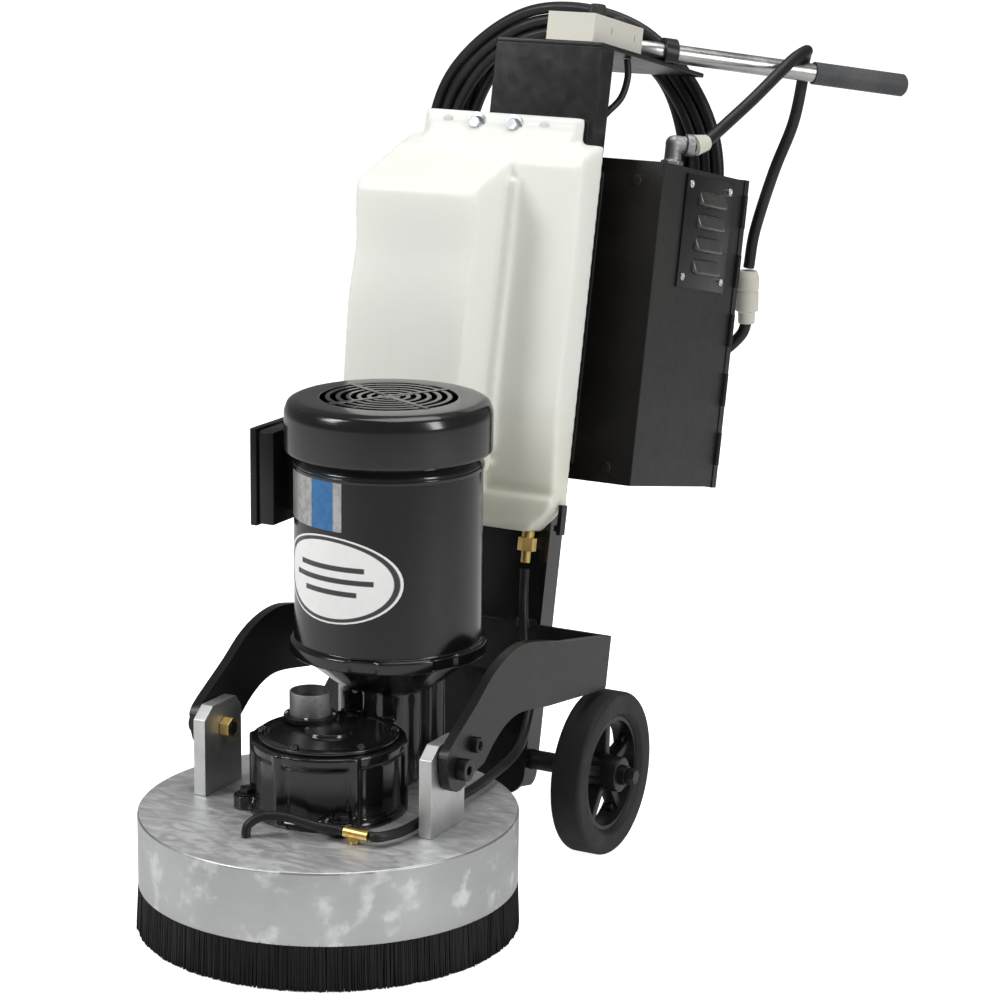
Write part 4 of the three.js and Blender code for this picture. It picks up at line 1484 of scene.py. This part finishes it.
@dataclass
class Motor:
    """Upright electric motor with its fan cover, junction box and labels."""

    radius: float = 0.113
    ring_r: float = 0.119
    low: float = 0.302
    ring_top: float = 0.318
    shell_top: float = 0.556
    cover_r: float = 0.1246
    cover_top: float = 0.612
    slots: int = 6
    slot_pitch: float = 0.0123
    slot_width: float = 0.0068

    def build(self) -> None:
        """Make the motor."""
        at = HEAD @ Matrix.Translation((0.0, MOTOR_Y, 0.0))
        r = self.radius
        shell = [
            (0.016, self.low), (self.ring_r, self.low), (self.ring_r, self.ring_top - 0.002),
            (self.ring_r - 0.003, self.ring_top), (r, self.ring_top + 0.001), (r, self.shell_top - 0.020),
            (r - 0.006, self.shell_top - 0.012), (r - 0.006, self.shell_top), (0.016, self.shell_top),
        ]
        recess = [math.radians(a) for a in (-75, -25, 105, 155)]

        def scalloped(radius: float, height: float, angle: float) -> float:
            if height > self.ring_top + 0.0005 or radius < self.ring_r - 0.004:
                return radius
            near = min(abs(math.remainder(angle - a, math.tau)) for a in recess)
            return radius - (0.004 if near < 0.13 else 0.0)

        body = lathe(rounded(shell, 0.0016), 180, reach=scalloped)
        place("motor_can", body, at, "gloss_black", Body.HEAD, "motor_shell")
        seam = lathe(
            rounded(
                [(r - 0.001, 0.5285), (r + 0.0016, 0.5285), (r + 0.0016, 0.5335), (r - 0.001, 0.5335)], 0.001
            ),
            FINE,
            True,
        )
        place("motor_seam", seam, at, "gloss_black", Body.HEAD)
        self.cover(at)
        self.box()
        self.labels()
        row = Repeater("on_points", False)
        level = self.cover_top - 0.014
        dimples = []
        for a in (math.radians(-118 + 90 * k) for k in range(4)):
            dimples.append((0.1155 * math.cos(a), MOTOR_Y + 0.1155 * math.sin(a), level + 0.006))
        screws = row.bake("cover_screws", spots(dimples, HEAD), cap_screw(0.0052, 0.0042), "satin_black")
        place_mesh("cover_screws", screws, "satin_black", Body.HEAD)

    def cover(self, at: Matrix) -> None:
        """Make the fan cover and its slotted grille.

        Args:
            at: motor axis matrix.
        """
        r, top = self.cover_r, self.cover_top
        open_r = 0.014 + self.slot_pitch * (self.slots - 1) + self.slot_width
        rim = [
            (self.radius - 0.0055, self.shell_top - 0.010), (r - 0.0006, self.shell_top - 0.007),
            (r, self.shell_top - 0.004),
            (r, top - 0.016), (r - 0.004, top - 0.005), (r - 0.014, top - 0.0005), (open_r, top),
            (open_r, top - 0.003), (r - 0.016, top - 0.0035), (r - 0.006, top - 0.014),
            (r - 0.003, self.shell_top), (self.radius - 0.0055, self.shell_top - 0.006),
        ]
        piece = lathe(rounded(rim, 0.004, 4), 180, closed=True)
        for k in range(self.slots):
            outer = 0.014 + self.slot_pitch * k
            inner = 0.0 if k == 0 else outer - (self.slot_pitch - self.slot_width)
            bar = [(inner, top - 0.0025), (outer, top - 0.0025), (outer, top), (inner, top)]
            piece.merge(lathe(rounded(bar, 0.0006), FINE, inner > 0))
        for k in range(4):
            spoke = slab((0.006, -0.004, top - 0.0028), (open_r + 0.002, 0.004, top + 0.0004), 0.0006)
            piece.merge(spoke.moved(Matrix.Rotation(math.radians(62 + 90 * k), 4, "Z")))
        place("fan_hood", piece, at, "gloss_black", Body.HEAD, "fan_cover")

    def box(self) -> None:
        """Make the junction box with its lid."""
        shape = slab((-0.1505, 0.087, 0.448), (-0.128, 0.173, 0.564), 0.004)
        shape.merge(slab((-0.1605, 0.085, 0.446), (-0.1510, 0.175, 0.566), 0.0015))
        shape.merge(slab((-0.130, 0.116, 0.462), (-0.104, 0.164, 0.530), 0.004))
        shape.merge(slab((-0.1525, 0.09, 0.451), (-0.149, 0.17, 0.561), 0.0))
        place("terminal_box", shape, HEAD, "satin_black", Body.HEAD, "junction_box")

    def labels(self) -> None:
        """Lay the two blank labels on the shell."""
        self.wrapped("rating_plate", "foil_label", (-152, -89), (0.470, 0.534), False)
        self.wrapped("oval_sticker", "oval_label", (-147, -51), (0.358, 0.464), True)

    def wrapped(
        self, name: str, finish: str, span: tuple[float, float], height: tuple[float, float], oval: bool
    ) -> None:
        """Wrap a label round the shell.

        Args:
            name: piece name.
            finish: finish name.
            span: angles in degrees.
            height: low and high edge.
            oval: elliptic outline instead of a rectangle.
        """
        rows, columns = 24, 48
        mesh = bpy.data.meshes.new(name)
        points: list[Point] = []
        coords: list[tuple[float, float]] = []
        for i in range(rows + 1):
            for k in range(columns + 1):
                u, v = k / columns, i / rows
                if oval:
                    t, reach = 2 * math.pi * u, v
                    u, v = 0.5 + 0.5 * reach * math.cos(t), 0.5 + 0.5 * reach * math.sin(t)
                a = math.radians(span[0] + (span[1] - span[0]) * u)
                r = self.radius + 0.0005
                points.append(
                    (
                        r * math.cos(a),
                        HEAD_SHIFT + MOTOR_Y + r * math.sin(a),
                        height[0] + (height[1] - height[0]) * v,
                    )
                )
                coords.append((u, v))
        wide = columns + 1
        faces = [
            (i * wide + k, i * wide + k + 1, (i + 1) * wide + k + 1, (i + 1) * wide + k)
            for i in range(rows)
            for k in range(columns)
        ]
        mesh.from_pydata(points, [], faces)
        layer = mesh.uv_layers.new(name="print")
        for loop in mesh.loops:
            layer.data[loop.index].uv = coords[loop.vertex_index]
        mesh.shade_smooth()
        place_mesh(name, mesh, finish, Body.HEAD)


# ---- carrying frame -----------------------------------------------------------------------------
@dataclass
class Carriage:
    """Posts, yoke, mast, axle and wheels."""

    axle_y: float = 0.380
    axle_z: float = 0.104
    wheel_r: float = 0.104
    half_width: float = 0.021
    wheel_x: float = 0.173
    rim_r: float = 0.0735
    spokes: int = 5

    def build(self) -> None:
        """Make the carriage."""
        dress("post_aluminium", 0.0009, "pivot_post_left", "pivot_post_right")
        dress("satin_black", 0.0012, "yoke")
        dress("gloss_black", 0.0022, "mast")
        dress("satin_black", 0.0006, "axle")
        dress("satin_black", 0.0008, "pivot_bolt_left", "pivot_bolt_right")
        dress("brass", 0.0008, "pivot_nut_left", "pivot_nut_right")
        self.wheel("left", -1, Body.WHEEL_LEFT)
        self.wheel("right", 1, Body.WHEEL_RIGHT)
        row = Repeater("on_points", False)
        for name, sign in (("left", -1), ("right", 1)):
            side = [(sign * 0.1755, 0.034, 0.238)]
            turn = (0.0, sign * math.pi / 2, 0.0)
            mesh = row.bake(
                "arm_screw_" + name, spots(side, HEAD), cap_screw(0.0095, 0.009), "satin_black", turn=turn
            )
            place_mesh("arm_screw_" + name, mesh, "satin_black", Body.CHASSIS)
        cross = [(x, -0.0104, w) for x in (0.052, 0.068) for w in (0.285,)] + [(-0.06, -0.0104, 0.285)]
        turn = (math.pi / 2 - MAST_LEAN, 0.0, 0.0)
        screws = row.bake(
            "cross_screws", spots(cross, LEAN), hex_bolt(0.006, 0.004, 1.2), "satin_black", turn=turn
        )
        place_mesh("cross_screws", screws, "satin_black", Body.CHASSIS)

    def wheel(self, side: str, sign: int, body: Body) -> None:
        """Make one wheel.

        Args:
            side: left or right.
            sign: side along X.
            body: body of that wheel.
        """
        at = toward((sign, 0, 0), (sign * self.wheel_x, self.axle_y + HEAD_SHIFT, self.axle_z))
        h, r = self.half_width, self.wheel_r
        tread = [
            (self.rim_r, -h + 0.006), (self.rim_r + 0.005, -h), (r - 0.003, -h), (r, -h + 0.004),
            (r, h - 0.004),
            (r - 0.003, h), (self.rim_r + 0.005, h), (self.rim_r, h - 0.006),
        ]
        place(
            "tyre_" + side + "_round",
            lathe(rounded(tread, 0.0025), FINE, True),
            at,
            "tyre_rubber",
            body,
            "tyre_" + side,
        )
        rim_r = self.rim_r - 0.0002
        ring = [
            (rim_r - 0.006, -h + 0.008), (rim_r, -h + 0.008), (rim_r, h - 0.006), (rim_r - 0.006, h - 0.006)
        ]
        rim = lathe(rounded(ring, 0.001), FINE, True)
        hub = [(0.0131, -h - 0.004), (0.024, -h - 0.004), (0.022, h + 0.008), (0.0131, h + 0.008)]
        rim.merge(lathe(rounded(hub, 0.0015), MEDIUM, True))
        for k in range(self.spokes):
            foot = slab((0.018, -0.0065, -0.009), (rim_r - 0.003, 0.0065, 0.009), 0.002)
            turn = Matrix.Rotation(2 * math.pi * k / self.spokes + 0.3, 4, "Z")
            rim.merge(foot.moved(turn))
            web = slab((rim_r - 0.016, -0.013, -0.004), (rim_r - 0.003, 0.013, 0.004), 0.002)
            rim.merge(web.moved(turn))
        place("rim_" + side + "_cast", rim, at, "satin_black", body, "rim_" + side)
        cap = lathe(rounded([(0, 0.033), (0.0122, 0.033), (0.0122, 0.036), (0, 0.036)], 0.001), SMALL)
        cap.merge(lathe([(0.011, 0.0375), (0.011, 0.047), (0.0095, 0.049), (0, 0.049)], 6))
        place("axle_cap_" + side, cap, at, "satin_black", Body.CHASSIS)


@dataclass
class Tank:
    """Blow-moulded water tank with its bolts, outlet and lever."""

    low: float = 0.441
    high: float = 0.893
    left: float = -0.180
    right: float = 0.097
    bulge_right: float = -0.003
    shallow: float = -0.064
    deep: float = -0.147
    sump: float = 0.402

    def side(self, front: float, top: float, shoulder: float, rear: float = -0.0025) -> list[
        tuple[float, float]
    ]:
        """Side outline of one lobe, drawn in (v, w).

        Args:
            front: front face.
            top: height of the rear shoulder.
            shoulder: height of the front edge.
            rear: rear face.

        Returns:
            The outline.
        """
        return [
            (rear, self.low + 0.002), (rear, self.high), (-0.012, self.high),
            (front + 0.006, shoulder + 0.002),
            (front, shoulder - 0.010), (front + 0.003, top - 0.300), (front + 0.014, self.low + 0.020),
            (front + 0.026, self.low + 0.002),
        ]

    def moulded(self, p: Vector) -> Vector:
        """Sag the walls a little, as thin moulded plastic does.

        Args:
            p: point in the row frame.

        Returns:
            The moved point.
        """
        q = LEAN.inverted() @ p
        if q.y > -0.008:
            return p
        height = (q.z - self.low) / (self.high - self.low)
        pinch = math.exp(-(((height - 0.66) / 0.10) ** 2)) * 0.005
        if q.x < -0.12:
            tuck = 0.010 * min(1.0, max(0.0, (0.82 - q.z) / 0.26))
            q.x += (pinch + tuck) * min(1.0, (-0.12 - q.x) / 0.04)
        if q.y < -0.10:
            wave = math.sin(q.x * 31.0 + 1.0) * math.sin(q.z * 17.0)
            q.y += 0.0018 * wave + pinch * 0.5
        q.x += 0.0012 * math.sin(q.z * 23.0) * math.sin(q.y * 40.0)
        return LEAN @ q

    def build(self) -> None:
        """Make the tank."""
        lobes = [
            prism(self.side(self.shallow, 0.860, 0.872), self.left + 0.010, self.right - 0.0012),
            prism(self.side(self.deep, 0.860, 0.822), self.left + 0.001, self.bulge_right),
        ]
        sump = [(self.left + 0.008, self.low + 0.006), (self.left + 0.024, self.sump), (0.066, self.sump)]
        sump += [(self.right - 0.002, self.low - 0.006), (self.right - 0.002, self.low + 0.006)]
        lobes.append(
            prism([(-x, w) for x, w in sump], -0.052, -0.004).moved(Matrix.Rotation(math.pi / 2, 4, "Z"))
        )
        groove = slab(
            (self.bulge_right - 0.004, self.shallow - 0.008, 0.470),
            (self.bulge_right + 0.014, self.shallow + 0.004, 0.840),
            0.003,
        )
        lobes.append(groove)
        lip = slab((-0.163, -0.0115, self.high - 0.030), (0.066, -0.003, 0.927), 0.0035)
        web = prism([(-0.0115, 0.889), (-0.0115, 0.912), (-0.034, 0.884)], -0.15, 0.055)
        body = cast("tank_moulding", [s.moved(LEAN) for s in (*lobes, lip, web)], 0.0036, 9, self.moulded)
        place_mesh("tank_moulding", body, "milky_plastic", Body.CHASSIS, "water_tank")
        dress("brass", 0.0005, "tank_valve")
        dress("satin_black", 0.0006, "valve_lever")
        row = Repeater("on_points", False)
        turn = (math.pi / 2 - MAST_LEAN, 0.0, 0.0)
        bolts = [(x, -0.0122, 0.912) for x in (-0.085, -0.031)]
        mesh = row.bake(
            "tank_bolts", spots(bolts, LEAN), hex_bolt(0.0085, 0.009, 1.45), "bright_steel", turn=turn
        )
        place_mesh("tank_bolts", mesh, "bright_steel", Body.CHASSIS)
        marks = [(x, -0.0118, 0.912) for x in (-0.127, 0.012)]
        button = lathe(rounded([(0, 0), (0.0075, 0), (0.0065, 0.0012), (0, 0.0016)], 0.0005), SMALL)
        mesh = row.bake("tank_plugs", spots(marks, LEAN), button, "milky_plastic", turn=turn)
        place_mesh("tank_plugs", mesh, "milky_plastic", Body.CHASSIS)


@dataclass
class Cabinet:
    """Drive cabinet with its louvre plate, door and cord elbow."""

    half: float = 0.150
    louvre_w: float = 0.848
    pitch: float = 0.0295

    def build(self) -> None:
        """Make the cabinet."""
        dress("textured_black", 0.0016, "cabinet", "cabinet_door")
        dress("satin_black", 0.0, "drive_unit")
        dress("steel", 0.0008, "door_latch")
        plate = slab((self.half + 0.0003, 0.134, 0.730), (self.half + 0.0023, 0.286, 0.877), 0.0005)
        row = Repeater("on_points", False)
        hood = self.hood()
        tops = [(self.half + 0.0020, 0.218, self.louvre_w - k * self.pitch) for k in range(4)]
        turn = (-MAST_LEAN, 0.0, 0.0)
        # the hoods are painted lighter than the plate they are pressed from: a painted highlight
        hoods = row.bake("louvres", spots(tops, LEAN), hood, "louvre_black_painted_highlight", turn=turn)
        place("louvre_sheet", plate, LEAN, "satin_black", Body.CHASSIS, "louvre_plate")
        place_mesh("louvres", hoods, "louvre_black_painted_highlight", Body.CHASSIS)
        # thin dark strips under each hood: painted shade standing in for the shadowed opening below the
        # louvre
        painted_mouth_shade = Shape()
        for top in tops:
            low = top[2] - 0.0105
            painted_mouth_shade.merge(
                slab((self.half + 0.0018, 0.178, low), (self.half + 0.0027, 0.258, low + 0.005), 0.0002)
            )
        place("louvre_mouths", painted_mouth_shade, LEAN, "cord_rubber", Body.CHASSIS)
        corners = [(self.half + 0.0022, v, w) for v in (0.146, 0.272) for w in (0.744, 0.864)]
        screws = row.bake(
            "louvre_screws",
            spots(corners, LEAN),
            cap_screw(0.0052, 0.0026),
            "bright_steel",
            turn=(0, math.pi / 2, 0),
        )
        place_mesh("louvre_screws", screws, "bright_steel", Body.CHASSIS)
        plugs = [(0.112, 0.0622, 0.858), (0.112, 0.0622, 0.490)]
        disc = lathe(rounded([(0, 0), (0.008, 0), (0.007, 0.0014), (0, 0.0016)], 0.0005), SMALL)
        mesh = row.bake(
            "cabinet_plugs", spots(plugs, LEAN), disc, "textured_black", turn=(math.pi / 2 - MAST_LEAN, 0, 0)
        )
        place_mesh("cabinet_plugs", mesh, "textured_black", Body.CHASSIS)
        self.elbow()

    def hood(self) -> Shape:
        """One pressed louvre: a long closed dome that faces +X, whose shaded opening below is painted by a
        dark strip.

        Returns:
            The louvre about its own middle.
        """
        long, tall, deep, rings = 0.042, 0.0105, 0.0120, 10
        shape = Shape()
        around = 28
        for i in range(rings + 1):
            t = i / rings * math.pi / 2
            for k in range(around):
                a = 2 * math.pi * k / around
                y = math.copysign(abs(math.cos(a)) ** 0.3, math.cos(a)) * long * math.cos(t) ** 0.35
                z = math.copysign(abs(math.sin(a)) ** 0.4, math.sin(a)) * tall * math.cos(t) ** 0.35
                lean = 0.25 + 0.75 * (0.5 - 0.5 * z / tall)
                shape.points.append(Vector((deep * math.sin(t) * lean, y, z)))
        for i in range(rings):
            for k in range(around):
                n = (k + 1) % around
                shape.faces.append(
                    (i * around + k, i * around + n, (i + 1) * around + n, (i + 1) * around + k)
                )
        shape.faces.append(tuple(range(around - 1, -1, -1)))
        return shape

    def elbow(self) -> None:
        """Make the cast elbow and its ribbed strain relief."""
        mesh = cast("elbow_cast", [node_shape("cord_elbow")], 0.0011, 3)
        place_mesh("elbow_cast", mesh, "galvanised", Body.CHASSIS, "cord_elbow")
        start = Vector((0.1486, 0.677, 0.8642))
        ahead = (Vector((0.155, 0.687, 0.866)) - start).normalized()
        back = start - ahead * 0.004
        sleeve: list[tuple[float, float]] = [(0.0082, 0.0)]
        for k in range(4):
            z = 0.002 + 0.005 * k
            r = 0.0135 - 0.0010 * k
            sleeve += [(r, z), (r, z + 0.0035), (r - 0.0014, z + 0.0040), (r - 0.0014, z + 0.0048)]
        sleeve.append((0.0082, 0.023))
        at = HEAD @ toward(tuple(ahead), tuple(back))
        place("cord_sleeve", lathe(rounded(sleeve, 0.0006, 2), SMALL * 2, True), at, "cream", Body.CHASSIS)


@dataclass
class Controls:
    """Shelf, control box with its knob and button, handle, clamps and grips."""

    bar_r: float = 0.0125
    lift: float = 1.0373
    end_x: float = 0.306
    bend_x: float = 0.054
    bend_v: float = 0.206
    grip_long: float = 0.136
    grip_r: float = 0.0152

    def build(self) -> None:
        """Make the controls and handle."""
        dress("satin_black", 0.0012, "shelf_plate", "bar_clamp_left", "bar_clamp_right")
        dress("cream", 0.0012, "control_box")
        self.dials()
        self.bar()
        self.grip("left", -1)
        self.grip("right", 1)

    def dials(self) -> None:
        """Make the fluted knob and the button."""
        top = 1.0599 - 0.0003
        knob = [
            (0, top + 0.0012),
            (0.0115, top + 0.0012),
            (0.0112, top + 0.012),
            (0.009, top + 0.0175),
            (0, top + 0.018),
        ]

        def fluted(radius: float, height: float, angle: float) -> float:
            return radius * (1.0 + 0.035 * math.cos(12 * angle)) if radius > 0.006 else radius

        at = LEAN @ Matrix.Translation((0.036, 0.055, 0.0))
        place(
            "dial",
            lathe(rounded(knob, 0.0015), 96, reach=fluted),
            at,
            "black_plastic",
            Body.KNOB,
            "speed_knob",
        )
        press = [
            (0, top + 0.003),
            (0.009, top + 0.003),
            (0.009, top + 0.009),
            (0.0075, top + 0.0105),
            (0, top + 0.011),
        ]
        at = LEAN @ Matrix.Translation((0.036, 0.125, 0.0))
        place(
            "press_button",
            lathe(rounded(press, 0.0012), 40),
            at,
            "black_plastic",
            Body.BUTTON,
            "start_button",
        )

    def bar(self) -> None:
        """Make the bent handle tube."""
        run = self.end_x - self.bend_x
        radius = self.bend_x * math.sqrt(2)
        middle = self.bend_v - self.bend_x + radius * math.sqrt(2)
        path = [
            Vector((-self.end_x + run * t / 6, self.bend_v + run * (1 - t / 6), self.lift)) for t in range(6)
        ]
        for k in range(13):
            a = math.radians(-135 + 90 * k / 12)
            path.append(Vector((radius * math.cos(a), middle + radius * math.sin(a), self.lift)))
        path += [
            Vector((self.bend_x + run * t / 6, self.bend_v + run * t / 6, self.lift)) for t in range(1, 7)
        ]
        place("handle_tube", swept(path, self.bar_r, 32), LEAN, "tube_aluminium", Body.CHASSIS, "handle_bar")

    def grip(self, side: str, sign: int) -> None:
        """Make one grip.

        Args:
            side: left or right.
            sign: side along X.
        """
        r, long = self.grip_r, self.grip_long
        rings = [(self.bar_r + 0.0003, 0.0), (r, 0.0)]
        for k in range(14):
            z = 0.012 + k * 0.0078
            rings += [(r, z), (r - 0.00015, z + 0.001), (r - 0.00015, z + 0.002), (r, z + 0.003)]
        rings += [
            (r, long - 0.004),
            (r - 0.004, long),
            (0, long),
            (0, long - 0.003),
            (self.bar_r + 0.0003, long - 0.003),
        ]
        end = self.bend_v + self.end_x - self.bend_x + 0.003
        step = long / math.sqrt(2) - 0.001
        at = LEAN @ toward((sign, 1, 0), (sign * (self.end_x + 0.003 - step), end - step, self.lift))
        place(
            "grip_" + side + "_ribbed",
            lathe(rounded(rings, 0.0008, 2), 48),
            at,
            "grip_rubber",
            Body.CHASSIS,
            "grip_" + side,
        )


@dataclass
class Train:
    """Gears, shafts and windings inside the machine."""

    steel: tuple[str, ...] = (
        "pinion", "idler_gear", "output_gear", "output_shaft", "carrier_plate", "sun_gear",
        "satellite_spindle_1", "satellite_spindle_2", "satellite_spindle_3",
        "tool_plate_1", "tool_plate_2", "tool_plate_3",
    )

    def build(self) -> None:
        """Give the drive train its finishes."""
        dress("steel", 0.0005, *self.steel)
        dress("black_plastic", 0.0005, "rotor")
        dress("copper", 0.001, "stator")
        dress("brass", 0.0005, "water_tee")


def main() -> tuple[Vector, Vector]:
    """Build everything in order.

    Returns:
        The shown object's bounds before anything was added.
    """
    logging.basicConfig(level=logging.INFO, format="%(name)s: %(message)s")
    random.seed(4)
    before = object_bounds()
    palette.build()
    studio = Studio()
    studio.camera()
    Cords().build()
    for part in (Drum(), Gearbox(), Motor(), Carriage(), Tank(), Cabinet(), Controls(), Train()):
        part.build()
        log.info("%s built", type(part).__name__)
    studio.floor_and_lights()
    return before


if __name__ == "__main__":
    main()
